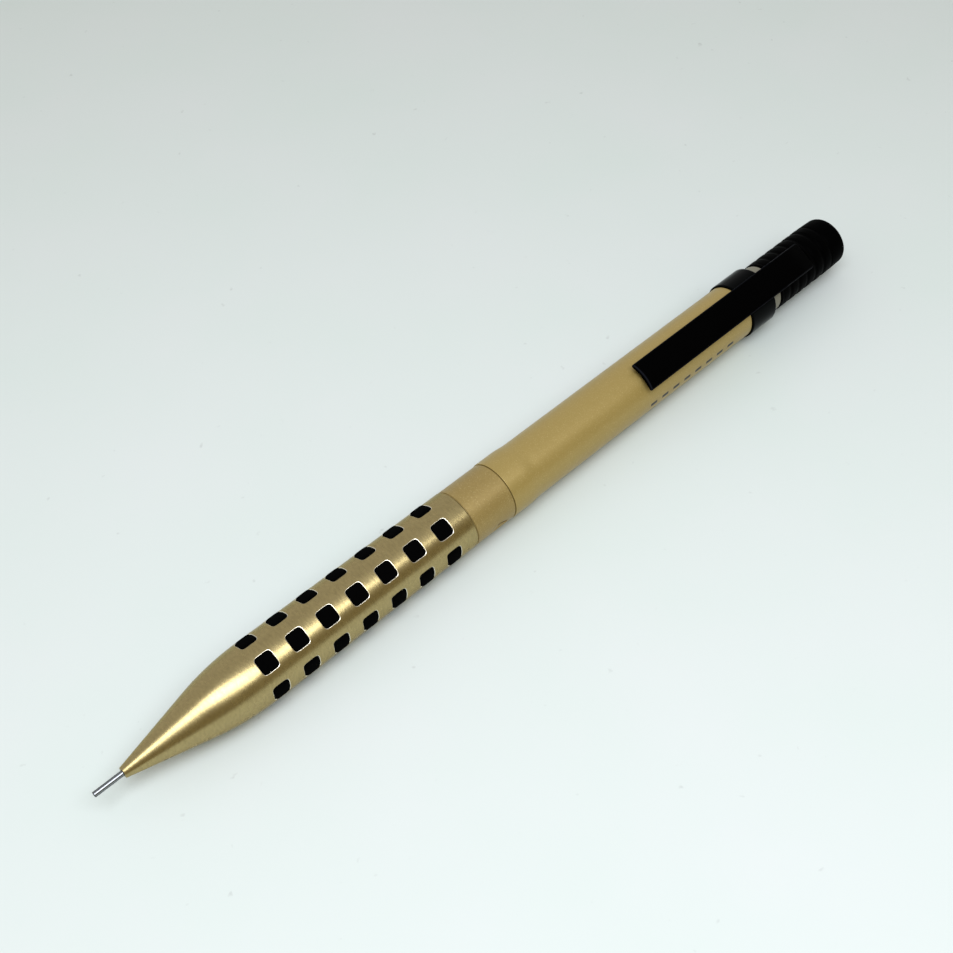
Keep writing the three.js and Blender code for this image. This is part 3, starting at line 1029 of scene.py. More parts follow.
    def nub_cell(self, x: float, angle: float, start: float, end: float) -> Grid:
        """One nub with the sleeve around it, up to a domed top that closes in its middle.

        A point a along the axis, b across it and h high above the axis lies at radius
        hypot(h, b), turned by atan2(b, h). The top is a crown: h falls with the square of how
        far a ring is from the middle.

        Args:
            x: the nub's middle along the axis.
            angle: its angle around the axis.
            start: where its stretch of the sleeve starts.
            end: where that stretch ends.

        Returns:
            The cell's grid, with a row for each ring.
        """
        plan = self.windows
        square = plan.square()
        reach = np.where(square[:, 0] > 0, end - x, x - start)
        rim = plan.rim(1.0)
        foot = math.sqrt(self.sleeve_radius**2 - self.nub_half**2)
        xs, angles, radii = [], [], []

        def ring(half: float, height: float | np.ndarray) -> None:
            """Adds a ring on the nub itself.

            Args:
                half: half the ring's width.
                height: how high above the axis it lies.
            """
            across = half * rim[:, 1]
            xs.append(x + half * rim[:, 0])
            angles.append(angle + np.arctan2(across, height))
            radii.append(np.hypot(height, across))

        for share in (0.0, 0.5, 0.9):
            side = self.nub_half * rim
            xs.append(x + (1 - share) * square[:, 0] * reach + share * side[:, 0])
            around_to = np.arcsin(side[:, 1] / self.sleeve_radius)
            angles.append(angle + (1 - share) * square[:, 1] * plan.half_angle + share * around_to)
            radii.append(np.full_like(reach, self.sleeve_radius))
        ring(self.nub_half, np.sqrt(self.sleeve_radius**2 - (self.nub_half * rim[:, 1]) ** 2))
        ring(self.nub_half, (foot + self.nub_top) / 2)
        for step in np.linspace(0, math.pi / 2, 6):
            half = self.nub_half - self.nub_round * (1 - math.cos(step))
            height = self.nub_top - self.nub_crown - self.nub_round * (1 - math.sin(step))
            ring(half, height)
        flat = self.nub_half - self.nub_round
        for share in (0.85, 0.6, 0.3, 0.0):
            ring(flat * share, self.nub_top - self.nub_crown * share**2)
        return Grid(around(np.array(xs), np.array(radii), np.array(angles)))

    def rubber_grids(self) -> list[Grid]:
        """The sleeve: a cell for each nub, and the ends and bore as one turned surface.

        Returns:
            The sleeve's grids.
        """
        plan, span = self.windows, self.rubber
        cells = []
        for x, angle in plan.centres():
            start = max(x - plan.pitch / 2, span.start)
            end = min(x + plan.pitch / 2, span.end)
            cells.append(self.nub_cell(x, angle, start, end))
        bore = self.core.radius + self.sleeve_gap
        outline = [(span.end, self.sleeve_radius), (span.end, bore),
                   (span.start, bore), (span.start, self.sleeve_radius)]
        return [*cells, turned(np.array(outline), closed=False, sides=plan.sides)]

    def core_grid(self) -> Grid:
        """The core tube, with a right-hand thread behind the grip.

        The thread's depth is a triangle wave of (x / pitch - angle / turn), faded in over one
        pitch at its front and out over half a pitch at its rear.

        Returns:
            The tube's grid.
        """
        span, middle = self.core, 40.0
        lead_in, step, sides = 0.25, 0.05, 96
        x = np.concatenate([
            [span.start, middle, self.thread_from - 0.3],
            np.arange(self.thread_from, span.end - lead_in, step),
            [span.end - lead_in, span.end],
        ])[:, None]
        angle = np.linspace(0, TURN, sides, endpoint=False)[None, :]
        wave = np.abs(((x / self.thread_pitch - angle / TURN) % 1) * 2 - 1)
        fade = smooth_step((x - self.thread_from) / self.thread_pitch)
        fade = fade * smooth_step((span.end - lead_in - x) / (self.thread_pitch / 2))
        radius = span.radius - self.thread_depth * fade * (1 - wave)
        radius[-1] = span.radius - self.thread_depth
        ends = np.array([[span.end], [span.start]])
        bore = around(ends, np.full_like(ends, self.core_bore), angle)
        return Grid(np.concatenate([around(x, radius, angle), bore]), loop_rows=True)

    def build(self) -> None:
        """Builds the shell, the rubber and the core."""
        cells = [self.window_cell(x, angle) for x, angle in self.windows.centres()]
        shell = [*cells, self.shell_front(), self.shell_rear()]
        self.settle("grip_shell", shell, Body.GRIP, Slot.GRIP, 50)
        self.settle("rubber_grip", self.rubber_grids(), Body.GRIP, Slot.RUBBER, 50)
        self.settle("grip_core", [self.core_grid()], Body.GRIP, Slot.INNER)


@dataclass
class NoseUnit(Unit):
    """The steel pipe that guides the lead, and the rubber ring that holds it."""

    pipe: Span = span_of("guide_pipe")
    retainer: Span = span_of("lead_retainer")
    pipe_bore: float = 0.3
    funnel: Pair = (0.7, 0.3)

    def build(self) -> None:
        """Builds the pipe, and the retainer with a funnel in its rear."""
        pipe, rubber, bore = self.pipe, self.retainer, self.pipe_bore
        long, wide = self.funnel
        self.lathe("guide_pipe", Body.NOSE, Slot.PIPE, [
            (pipe.start, pipe.radius, 0.05), (pipe.end, pipe.radius, 0.03),
            (pipe.end, bore, 0.01), (pipe.start, bore, 0.015),
        ], sides=64)
        self.lathe("lead_retainer", Body.NOSE, Slot.RUBBER, [
            (rubber.start, rubber.radius, 0.08), (rubber.end, rubber.radius, 0.12),
            (rubber.end, bore + wide, 0.05), (rubber.end - long, bore, 0.1),
            (rubber.start, bore, 0.05),
        ], sides=64)


# ---- the barrel ----


@dataclass
class BarrelUnit(Unit):
    """The ring, the threaded insert, the barrel, the collar and the long sleeve inside."""

    ring: Span = span_of("joint_ring")
    insert: Span = span_of("thread_connector")
    barrel: Span = span_of("barrel")
    collar: Span = span_of("collar")
    sleeve: Span = span_of("clutch_sleeve")
    ring_bore: float = 3.95
    scoop_x: float = 63.2
    scoop_angle: float = math.radians(77)
    scoop_depth: float = 0.26
    scoop_half: Triple = (1.9, 1.2, 0.8)
    slot_size: Pair = (1.5, 0.45)
    slot_depth: float = 0.5
    seam_depth: float = 0.09
    seam_reach: float = 0.09
    shoulder: Pair = (69.4, 71.7)
    middle_radius: float = 4.3
    rear_radius: float = 4.28
    spigot_radius: float = 4.08
    barrel_bore: float = 3.5
    collar_bore: float = 3.93
    collar_gap: float = 0.15
    fit_gap: float = 0.05
    insert_step: float = 65.55
    insert_bores: Pair = (3.45, 3.0)
    sleeve_front: float = 2.1
    sleeve_cone: Pair = (23.0, 24.2)
    sleeve_tail_bore: float = 2.5
    sleeve_steps: tuple[Pair, ...] = (
        (35.4, 1.72), (19.1, 1.0), (18.3, 1.45), (15.35, 1.7), (12.62, 1.53),
    )

    def ring_grid(self) -> Grid:
        """The ring, with a scoop and a slot pressed into its side, and a ledge at both ends.

        The scoop is the part of an ellipsoid that reaches below the ring's surface. The slot is
        a box with soft walls behind it, and it is marked so that the finish paints it dark brown:
        painted shade in the recess.
        The ledges lie a little under the surface and reach under the neighbours, so that the
        seams are fine lines. Columns crowd towards the scoop: their angle from its middle is
        t - crowding sin t.

        Returns:
            The ring's grid, with a row for each point of its section.
        """
        span, bore = self.ring, self.ring_bore
        ledge, reach = span.radius - self.seam_depth, self.seam_reach
        outline = rounded([
            (span.start - reach, bore, 0), (span.start - reach, ledge, 0), (span.start, ledge, 0),
            (span.start, span.radius, 0.04), (span.end, span.radius, 0.04),
            (span.end, ledge, 0), (span.end + reach, ledge, 0), (span.end + reach, bore, 0),
        ])
        end_stretch, scoop_stretch, wall, crowding = 0.2, 2.1, 0.06, 0.85
        left = outline[outline[:, 0] < span.start + end_stretch]
        right = outline[outline[:, 0] > span.end - end_stretch]
        fine = np.linspace(self.scoop_x - scoop_stretch, self.scoop_x + scoop_stretch, 71)
        middle = np.stack([fine, np.full_like(fine, span.radius)], axis=-1)
        profile = np.concatenate([left, middle, right])
        t = np.linspace(-math.pi, math.pi, 224, endpoint=False)
        away = (t - crowding * np.sin(t))[None, :]
        x, radius = profile[:, :1], profile[:, 1:]
        along, across = x - self.scoop_x, span.radius * away
        long, wide, deep = self.scoop_half
        inside = np.clip(1 - (along / long) ** 2 - (across / wide) ** 2, 0, None)
        scoop = np.where(inside > 0, deep * np.sqrt(inside) - (deep - self.scoop_depth), 0)
        length, width = self.slot_size
        slot = smooth_step(along / wall) * smooth_step((length - along) / wall)
        slot = slot * smooth_step((width / 2 - np.abs(across)) / wall + 0.5)
        slot_floor = self.slot_depth * slot
        cut = np.maximum(np.clip(scoop, 0, None), slot_floor)
        outer = (radius > bore + 0.01).astype(float)
        points = around(x, radius - cut * outer, self.scoop_angle + away)
        # The slot is marked for painted shade: the finish turns it dark brown.
        return Grid(points, loop_rows=True, edge=np.broadcast_to(slot * outer, points.shape[:2]))

    def insert_corners(self) -> list[Corner]:
        """The brass insert: a wide front inside the ring and a narrow tail inside the barrel.

        Returns:
            Its outline.
        """
        span, tail, step = self.insert, self.barrel_bore - self.fit_gap, self.insert_step
        wide, narrow = self.insert_bores
        return [
            (span.start, span.radius, 0.1), (self.ring.end, span.radius, 0.05),
            (self.ring.end, tail, 0.05), (span.end, tail, 0.15), (span.end, narrow, 0.05),
            (step, narrow, 0.05), (step, wide, 0.05), (span.start, wide, 0.1),
        ]

    def barrel_grid(self) -> Grid:
        """The barrel: a wider front, a soft shoulder, a slow taper, and the collar's spigot.

        The shoulder's radius runs from front to middle as a smooth step, so it is level with
        the barrel at both of its ends.

        Returns:
            The barrel's grid.
        """
        span, (first, last) = self.barrel, self.shoulder
        seat = self.collar.start - self.collar_gap
        steps = np.linspace(first, last, 22)
        drop = smooth_step((steps - first) / (last - first))
        shoulder = np.stack([steps, span.radius + (self.middle_radius - span.radius) * drop], -1)
        front = rounded([
            (span.start, self.barrel_bore, 0), (span.start, span.radius, 0.06),
            (first, span.radius, 0),
        ], closed=False)
        rear = rounded([
            (last, self.middle_radius, 0), (seat, self.rear_radius, 0.05),
            (seat, self.spigot_radius, 0), (span.end, self.spigot_radius, 0.1),
            (span.end, self.barrel_bore, 0),
        ], closed=False)
        return turned(np.concatenate([front[:-1], shoulder, rear[1:]]))

    def collar_corners(self) -> list[Corner]:
        """The collar: a polished ring with softly rounded rims and a step inside.

        Returns:
            Its outline.
        """
        span, inner = self.collar, self.spigot_radius + self.fit_gap
        stop = self.barrel.end + self.collar_gap
        return [
            (span.start, span.radius, 0.16), (span.end, span.radius, 0.22),
            (span.end, self.collar_bore, 0.06), (stop, self.collar_bore, 0), (stop, inner, 0),
            (span.start, inner, 0.04),
        ]

    def sleeve_corners(self) -> list[Corner]:
        """The long sleeve: the clutch ring's pocket, the spring's seat, and a wide tail.

        Returns:
            Its outline.
        """
        span, front, tail = self.sleeve, self.sleeve_front, self.sleeve_tail_bore
        cone_start, cone_end = self.sleeve_cone
        return [
            (span.start, front, 0.15), (cone_start, front, 0.3), (cone_end, span.radius, 0.3),
            (span.end, span.radius, 0.2), (span.end, tail, 0.1),
            *stepped(tail, self.sleeve_steps), (span.start, self.sleeve_steps[-1][1], 0),
        ]

    def build(self) -> None:
        """Builds the five pieces that stay with the barrel."""
        self.settle("joint_ring", [self.ring_grid()], Body.BARREL, Slot.RING, 50)
        self.lathe("thread_connector", Body.BARREL, Slot.BRASS, self.insert_corners())
        self.settle("barrel", [self.barrel_grid()], Body.BARREL, Slot.BARREL)
        self.lathe("collar", Body.BARREL, Slot.COLLAR, self.collar_corners())
        self.lathe("clutch_sleeve", Body.BARREL, Slot.INNER, self.sleeve_corners())


# ---- the clutch ----


@dataclass
class ClutchUnit(Unit):
    """The brass chuck and its ring, the stem, the coupling and the return spring."""

    ring: Span = span_of("clutch_ring")
    stem: Span = span_of("chuck_stem")
    coupling: Span = span_of("tank_coupling")
    spring: Span = span_of("return_spring")
    jaw_from: float = 12.9
    jaw_to: float = 17.9
    jaw_head: float = 1.25
    jaw_neck: float = 0.85
    jaw_bore: float = 0.28
    jaws: int = 3
    slit: float = 0.2
    spring_radius: float = 1.36
    wire: float = 0.18
    turns: int = 10
    press_travel: float = 1.8
    jaw_taper_end: float = 14.6
    ring_bore: float = 1.32
    stem_bore: float = 0.35
    coupling_front: float = 1.6
    coupling_step: float = 37.5
    coupling_bores: Triple = (0.9, 0.45, 1.5)
    coupling_web: Pair = (37.4, 37.6)

    def jaw_grid(self, angle: float) -> Grid:
        """One finger of the chuck: its outline carried across a third of a turn.

        The two sides are parallel to the slits, so a side's angle at radius r is the third's
        own side less arcsin(half the slit / r).

        Args:
            angle: where the finger's middle is around the axis.

        Returns:
            The finger's grid, with a flat face on each side.
        """
        outline = rounded([
            (self.jaw_from, self.jaw_head - 0.15, 0.05), (self.jaw_from + 0.4, self.jaw_head, 0.1),
            (self.jaw_taper_end, self.jaw_neck, 0.3), (self.jaw_to, self.jaw_neck, 0.03),
            (self.jaw_to, self.jaw_bore, 0), (self.jaw_from, self.jaw_bore, 0.03),
        ], steps=4)
        x, radius = outline[:, :1], outline[:, 1:]
        side = math.pi / self.jaws - np.arcsin(self.slit / 2 / radius)
        share = np.linspace(-1, 1, 25)[None, :]
        points = around(x, radius, angle + side * share)
        return Grid(points, loop_rows=True, loop_columns=False, cap_columns=True)

    def spring_grid(self) -> Grid:
        """The spring: a round wire along a helix whose first and last turn lie closed.

        The wire's circle is drawn between the outward direction and the axis, which is square
        to the helix to within its small pitch.

        Returns:
            The wire's grid, with a flat face on each end.
        """
        span, wire = self.spring, self.wire
        turn = np.linspace(0, self.turns, self.turns * 40 + 1)
        closed = 2.1 * wire
        pitch = (span.end - span.start - 2 * wire - 2 * closed) / (self.turns - 2)
        middle = np.clip(turn - 1, 0, self.turns - 2)
        along = span.start + wire + (turn - middle) * closed + middle * pitch
        section = np.linspace(0, TURN, 12, endpoint=False)[:, None]
        x = along[None, :] + wire * np.sin(section)
        radius = self.spring_radius + wire * np.cos(section)
        points = around(x, radius, -turn[None, :] * TURN)
        return Grid(points, loop_rows=True, loop_columns=False, cap_columns=True)

    def build(self) -> None:
        """Builds the chuck, its ring, the stem, the coupling and the spring."""
        ring, stem, joint = self.ring, self.stem, self.coupling
        self.lathe("clutch_ring", Body.CLUTCH, Slot.BRASS, [
            (ring.start, ring.radius, 0.08), (ring.end, ring.radius, 0.08),
            (ring.end, self.ring_bore, 0.06), (ring.start, self.ring_bore, 0.12),
        ], sides=96)
        for i, body in enumerate((Body.JAW_1, Body.JAW_2, Body.JAW_3)):
            grid = self.jaw_grid((2 * i + 1) * math.pi / self.jaws)
            self.settle(f"chuck_jaw_{i + 1}", [grid], body, Slot.BRASS)
        self.lathe("chuck_stem", Body.PRESS, Slot.BRASS, [
            (stem.start, stem.radius, 0.04), (stem.end, stem.radius, 0.08),
            (stem.end, self.stem_bore, 0.04), (stem.start, self.stem_bore, 0.04),
        ], sides=96)
        step, front, (web_start, web_end) = self.coupling_step, self.coupling_front, self.coupling_web
        fore, narrow, rear = self.coupling_bores
        self.lathe("tank_coupling", Body.PRESS, Slot.BRASS, [
            (joint.start, front, 0.12), (step, front, 0.05), (step, joint.radius, 0.05),
            (joint.end, joint.radius, 0.2), (joint.end, rear, 0.1), (web_end, narrow, 0),
            (web_start, narrow, 0), (web_start, fore, 0), (joint.start, fore, 0.05),
        ], sides=96)
        spring = self.settle("return_spring", [self.spring_grid()], Body.BARREL, Slot.SPRING)
        anchor = PLACE.point(self.spring.start, 0, 0)
        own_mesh(spring)


# ---- tank, eraser and leads ----


@dataclass
class TankUnit(Unit):
    """The lead tank, the eraser in its brass cup, and the leads."""

    tank: Span = span_of("lead_tank")
    cup: Span = span_of("eraser_cup")
    eraser: Span = span_of("eraser")
    lead: Span = span_of("lead_in_use")
    tube_radius: float = 2.4
    bore: float = 2.0
    mouth_bore: float = 2.5
    lead_radius: float = 0.25
    spare_leads: int = 3
    spare_from: float = 54.0
    spare_to: float = 114.0
    spare_step: float = math.radians(20)
    spare_gap: float = 0.06
    eraser_gap: float = 0.05
    cup_floor: float = 0.1
    mouth_lead: float = 0.8
    mouth_slope: float = 1.0
    mouth_seat: float = 0.6

    def lead_grid(self, start: float, end: float, worn: float) -> Grid:
        """A lead: a thin rod with one end rounded by wear.

        Args:
            start: its front end along the axis.
            end: its rear end.
            worn: the rounding of its front end.

        Returns:
            The lead's grid.
        """
        r = self.lead_radius
        line = rounded([(start, 0, 0), (start, r, worn), (end, r, 0.02), (end, 0, 0)], closed=False)
        return turned(line, closed=False, sides=24)

    def build(self) -> None:
        """Builds the tank, the cup, the eraser and the four leads."""
        tank, cup, rubber = self.tank, self.cup, self.eraser
        mouth = cup.start - self.mouth_lead
        self.lathe("lead_tank", Body.PRESS, Slot.TANK, [
            (tank.start, self.tube_radius, 0.1), (mouth - self.mouth_slope, self.tube_radius, 0.4),
            (mouth, tank.radius, 0.4), (tank.end, tank.radius, 0.12),
            (tank.end, self.mouth_bore, 0.1), (mouth + self.mouth_seat, self.mouth_bore, 0),
            (mouth, self.bore, 0), (tank.start, self.bore, 0.05),
        ])
        floor, hollow = rubber.start - self.cup_floor, rubber.radius + self.eraser_gap
        self.lathe("eraser_cup", Body.ERASER, Slot.BRASS, [
            (cup.start, 0, 0), (cup.start, cup.radius, 0.15), (cup.end, cup.radius, 0.1),
            (cup.end, hollow, 0.04), (floor, hollow, 0), (floor, 0, 0),
        ], closed=False)
        self.lathe("eraser", Body.ERASER, Slot.VINYL, [
            (rubber.start, 0, 0), (rubber.start, rubber.radius, 0.1),
            (rubber.end, rubber.radius, 0.35), (rubber.end, 0, 0),
        ], closed=False)
        lead = self.lead_grid(self.lead.start, self.lead.end, 0.1)
        self.settle("lead_in_use", [lead], Body.LEAD, Slot.LEAD)
        low = math.pi - PLACE.roll
        out = self.bore - self.lead_radius - self.spare_gap
        for i in range(self.spare_leads):
            grid = self.lead_grid(self.spare_from, self.spare_to, 0.02)
            angle = low + (i - (self.spare_leads - 1) / 2) * self.spare_step
            grid.points += around(np.array(0.0), np.array(out), np.array(angle))
            self.settle(f"spare_lead_{i + 1}", [grid], Body.PRESS, Slot.LEAD)


# ---- the press cap and the clip ----


@dataclass
class CapUnit(Unit):
    """The ribbed press cap, the pale neck that slides into the collar, and the clip."""

    cap: Span = span_of("press_cap")
    neck: Span = span_of("neck_sleeve")
    ribs: int = 6
    rib_pitch: float = 2.0
    rib_height: float = 0.13
    front_radius: float = 3.9
    end_radius: float = 3.88
    end_round: float = 0.75
    cap_bore: float = 3.0
    inner_end: float = 136.8
    neck_step: float = 119.4
    clip_from: float = 93.05
    clip_to: float = 130.6
    clip_half: float = 2.3
    clip_under: float = 4.66
    clip_top: float = 5.32
    clip_crown: float = 0.2
    clip_round: float = 0.2
    tip_hollow: float = 0.3
    pad_middle: float = 96.25
    pad_half: Pair = (2.1, 1.25)
    pad_depth: float = 0.3
    saddle_x: float = 123.6
    saddle_radius: float = 4.0
    slope_from: Pair = (124.5, 6.32)
    slope_to: Pair = (131.6, 4.1)
    bend: Pair = (128.0, 120.5)
    tip_round: float = 0.45
    top_softness: float = 0.32
    hollow_run: float = 3.0
    fine_until: float = 98.9
    coarse_from: float = 99.2
    plain_front: float = 0.3
    rib_step: float = 0.08
    skirt_bore: float = 3.35
    skirt_end: float = 129.15
    neck_front: float = 3.42
    neck_spigot: float = 3.3
    neck_bore: float = 2.95
    neck_gap: float = 0.1

    def cap_radius(self, x: np.ndarray) -> np.ndarray:
        """The ribbed stretch: broad round ridges between narrow grooves.

        A groove's depth is the sixth power of the cosine of half the rib's phase, so it is
        narrow, and the ridge between two grooves is broad.

        Args:
            x: places along the axis.

        Returns:
            The radius at each of them.
        """
        phase = (x - self.cap.start - self.plain_front) / self.rib_pitch
        inside = smooth_step(phase * 4) * smooth_step((self.ribs + 0.15 - phase) * 4)
        groove = np.cos(phase * math.pi) ** 6
        return self.cap.radius - self.rib_height * groove * inside

    def cap_grid(self) -> Grid:
        """The cap: ribs, a plain end that narrows a little, a rounded rim and a flat face.

        Returns:
            The cap's grid.
        """
        span, skirt = self.cap, self.skirt_bore
        ribs_end = span.start + 0.5 + self.ribs * self.rib_pitch
        rib_x = np.arange(span.start + self.plain_front, ribs_end, self.rib_step)
        ribbed = np.stack([rib_x, self.cap_radius(rib_x)], axis=-1)
        inside = rounded([
            (self.inner_end, 0, 0), (self.inner_end, self.cap_bore, 0.2),
            (self.skirt_end, self.cap_bore, 0), (self.skirt_end, skirt, 0),
            (span.start, skirt, 0.05), (span.start, self.front_radius - 0.05, 0.08),
            (*ribbed[0], 0),
        ], closed=False)
        end = rounded([
            (*ribbed[-1], 0), (span.end, self.end_radius, self.end_round), (span.end, 0, 0),
        ], closed=False)
        return turned(np.concatenate([inside[:-1], ribbed, end[1:]]), closed=False)

    def neck_corners(self) -> list[Corner]:
        """The neck: narrow in the barrel, wide in the collar, and a spigot inside the cap.

        Returns:
            Its outline.
        """
        span, front, spigot, bore = self.neck, self.neck_front, self.neck_spigot, self.neck_bore
        step, shoulder = self.neck_step, self.cap.start - self.neck_gap
        return [
            (span.start, front, 0.1), (step, front, 0), (step, span.radius, 0.1),
            (shoulder, span.radius, 0.05), (shoulder, spigot, 0), (span.end, spigot, 0.15),
            (span.end, bore, 0.05), (span.start, bore, 0.05),
        ]

    def clip_under_at(self, x: np.ndarray, y: np.ndarray) -> np.ndarray:
        """The clip's underside: flat, with a soft pad near the tip and a saddle on the cap.

        The pad is a product of two smooth bumps. The saddle is the cap's own circle,
        sqrt(radius^2 - y^2), blended in over 0.4 mm at the cap's front.

        Args:
            x: places along the axis.
            y: places across the clip.

        Returns:
            The underside's height above the axis.
        """
        along = smooth_step((self.pad_half[0] - np.abs(x - self.pad_middle)) / 1.2)
        across = smooth_step((self.pad_half[1] - np.abs(y)) / 0.6)
        flat = self.clip_under - self.pad_depth * along * across
        saddle = np.sqrt(self.saddle_radius**2 - y**2)
        share = smooth_step((x - self.saddle_x + 0.2) / 0.4)
        return flat + (saddle - flat) * share

    def clip_top_at(self, x: np.ndarray, y: np.ndarray) -> np.ndarray:
        """The clip's top: crowned across as 1 - (y / half)^2, and sloping down onto the cap.

        The lower of the crown and the slope is taken softly, as half their sum less half
        sqrt(gap^2 + softness^2).

        Args:
            x: places along the axis.
            y: places across the clip.

        Returns:
            The top's height above the axis.
        """
        half = self.clip_half
        crown = self.clip_top - self.clip_crown * (y / half) ** 2
        (x0, z0), (x1, z1) = self.slope_from, self.slope_to
        slope = z0 + (x - x0) * (z1 - z0) / (x1 - x0) - self.clip_crown * (y / half) ** 2
        gap = crown - slope
        lower = (crown + slope - np.sqrt(gap**2 + self.top_softness**2)) / 2
        return np.where(x > x0, lower, crown)

    def clip_grid(self) -> Grid:
        """The clip: a rounded section between underside and top, carried along the axis.

        The section is a rounded rectangle in (y, v), where v runs from the underside at 0 to
        the top at 1. Near both ends it draws in along a quarter circle, which rounds the tips.
        The front end is hollow: it falls back by 1 - (y / half)^2, faded out along the clip.
        The long edges and the front edge are marked for a painted highlight: the finish turns
        them grey.

        Returns:
            The clip's grid, with a row for each point of the section.
        """
        half, tall = self.clip_half, self.clip_top - self.clip_crown - self.clip_under
        across = np.linspace(-half, half, 15)[1:-1]
        corners = [(-half, 0, self.clip_round / 2), *[(y, 0, 0) for y in across],
                   (half, 0, self.clip_round / 2), (half, tall, self.clip_round),
                   *[(y, tall, 0) for y in across[::-1]], (-half, tall, self.clip_round)]
        section = rounded(corners, steps=4)
        y0, v = section[:, 0][:, None], (section[:, 1] / tall)[:, None]
        tip, arc_points = self.tip_round, 7
        quarter = np.linspace(0, math.pi / 2, arc_points)
        front_x = self.clip_from + tip * (1 - np.sin(quarter))[::-1]
        rear_x = self.clip_to - tip * (1 - np.sin(quarter))
        middle = np.concatenate([
            np.arange(self.clip_from + 0.6, self.fine_until, 0.2),
            np.arange(self.coarse_from, self.saddle_x - 0.5, 1.0),
            np.arange(self.saddle_x - 0.3, self.clip_to - 0.5, 0.15),
        ])
        x = np.concatenate([front_x, middle, rear_x])[None, :]
        inset = np.zeros_like(x[0])
        inset[:arc_points] = tip * (1 - np.cos(quarter))[::-1]
        inset[-arc_points:] = tip * (1 - np.cos(quarter))
        y = y0 * (1 - inset[None, :] / half)
        low, high = self.clip_under_at(x, y), self.clip_top_at(x, y)
        draw = inset[None, :] * 0.75
        z = (low + draw) + v * (high - low - 2 * draw)
        hollow = self.tip_hollow * (1 - (y / half) ** 2)
        held = hollow * (1 - smooth_step((x - self.clip_from - tip) / self.hollow_run))
        # Painted highlight: half strength on the long edges, full on the front lip.
        long_edge = (np.abs(y0) > half - self.clip_round) & (v > 0.5) & (x > 0)
        front_edge = (v > 0.5) & (x > front_x[3]) & (x < front_x[5] + 0.01)
        edge = np.maximum(0.5 * long_edge, 1.0 * front_edge)
        points = np.stack(np.broadcast_arrays(x + held, y, z), axis=-1)
        return Grid(points, loop_rows=True, loop_columns=False, cap_columns=True, edge=edge)

    def build(self) -> None:
        """Builds the cap, the neck and the clip."""
        self.settle("press_cap", [self.cap_grid()], Body.CAP, Slot.CAP)
        self.lathe("neck_sleeve", Body.CAP, Slot.NECK, self.neck_corners())
        clip = self.settle("clip", [self.clip_grid()], Body.CLIP, Slot.CAP, 50)
        start, end = (PLACE.point(x, 0, self.clip_under) for x in self.bend)
        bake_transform(clip)


# ---- the studio ----


@dataclass(frozen=True)
class Softbox:
    """A rectangular light that faces a point on the floor.

    Attributes:
        name: the light's name.
        aim: the (x, y) on the floor that it faces, in millimetres.
        azimuth: its direction from there about the vertical, in degrees; 0 is -Y.
        elevation: its height, in degrees.
        distance: how far away it is, in metres.
        width: its size along the horizontal, in metres.
        height: its size across that, in metres.
        power: its power, in watts.
        spin: how far it is turned about its own direction, in degrees.
        spread: the full angle that it shines into, in degrees.
        colour: its sRGB colour.
    """

    name: str
    aim: tuple[float, float]
    azimuth: float
    elevation: float
    distance: float
    width: float
    height: float
    power: float
    spin: float = 0.0
    spread: float = 180.0
    colour: int = 0xFFFFFF

    def build(self) -> bpy.types.Object:
        """Makes the light.

        Returns:
            The light's object.
        """
        data = bpy.data.lights.new(self.name, "AREA")
        data.shape = "RECTANGLE"
        data.size, data.size_y, data.energy = self.width, self.height, self.power
        data.color = linear(self.colour)[:3]
        data.spread = math.radians(self.spread)
        a, e = math.radians(self.azimuth), math.radians(self.elevation)
        back = Vector((math.sin(a) * math.cos(e), -math.cos(a) * math.cos(e), math.sin(e)))
        light = bpy.data.objects.new(self.name, data)
        light.location = Vector((*self.aim, 0)) * MM + back * self.distance
        facing = back.to_track_quat("Z", "Y").to_matrix().to_4x4()
        spun = facing @ Matrix.Rotation(math.radians(self.spin), 4, "Z")
        light.rotation_euler = spun.to_euler()
        bpy.context.scene.collection.objects.link(light)
        return light


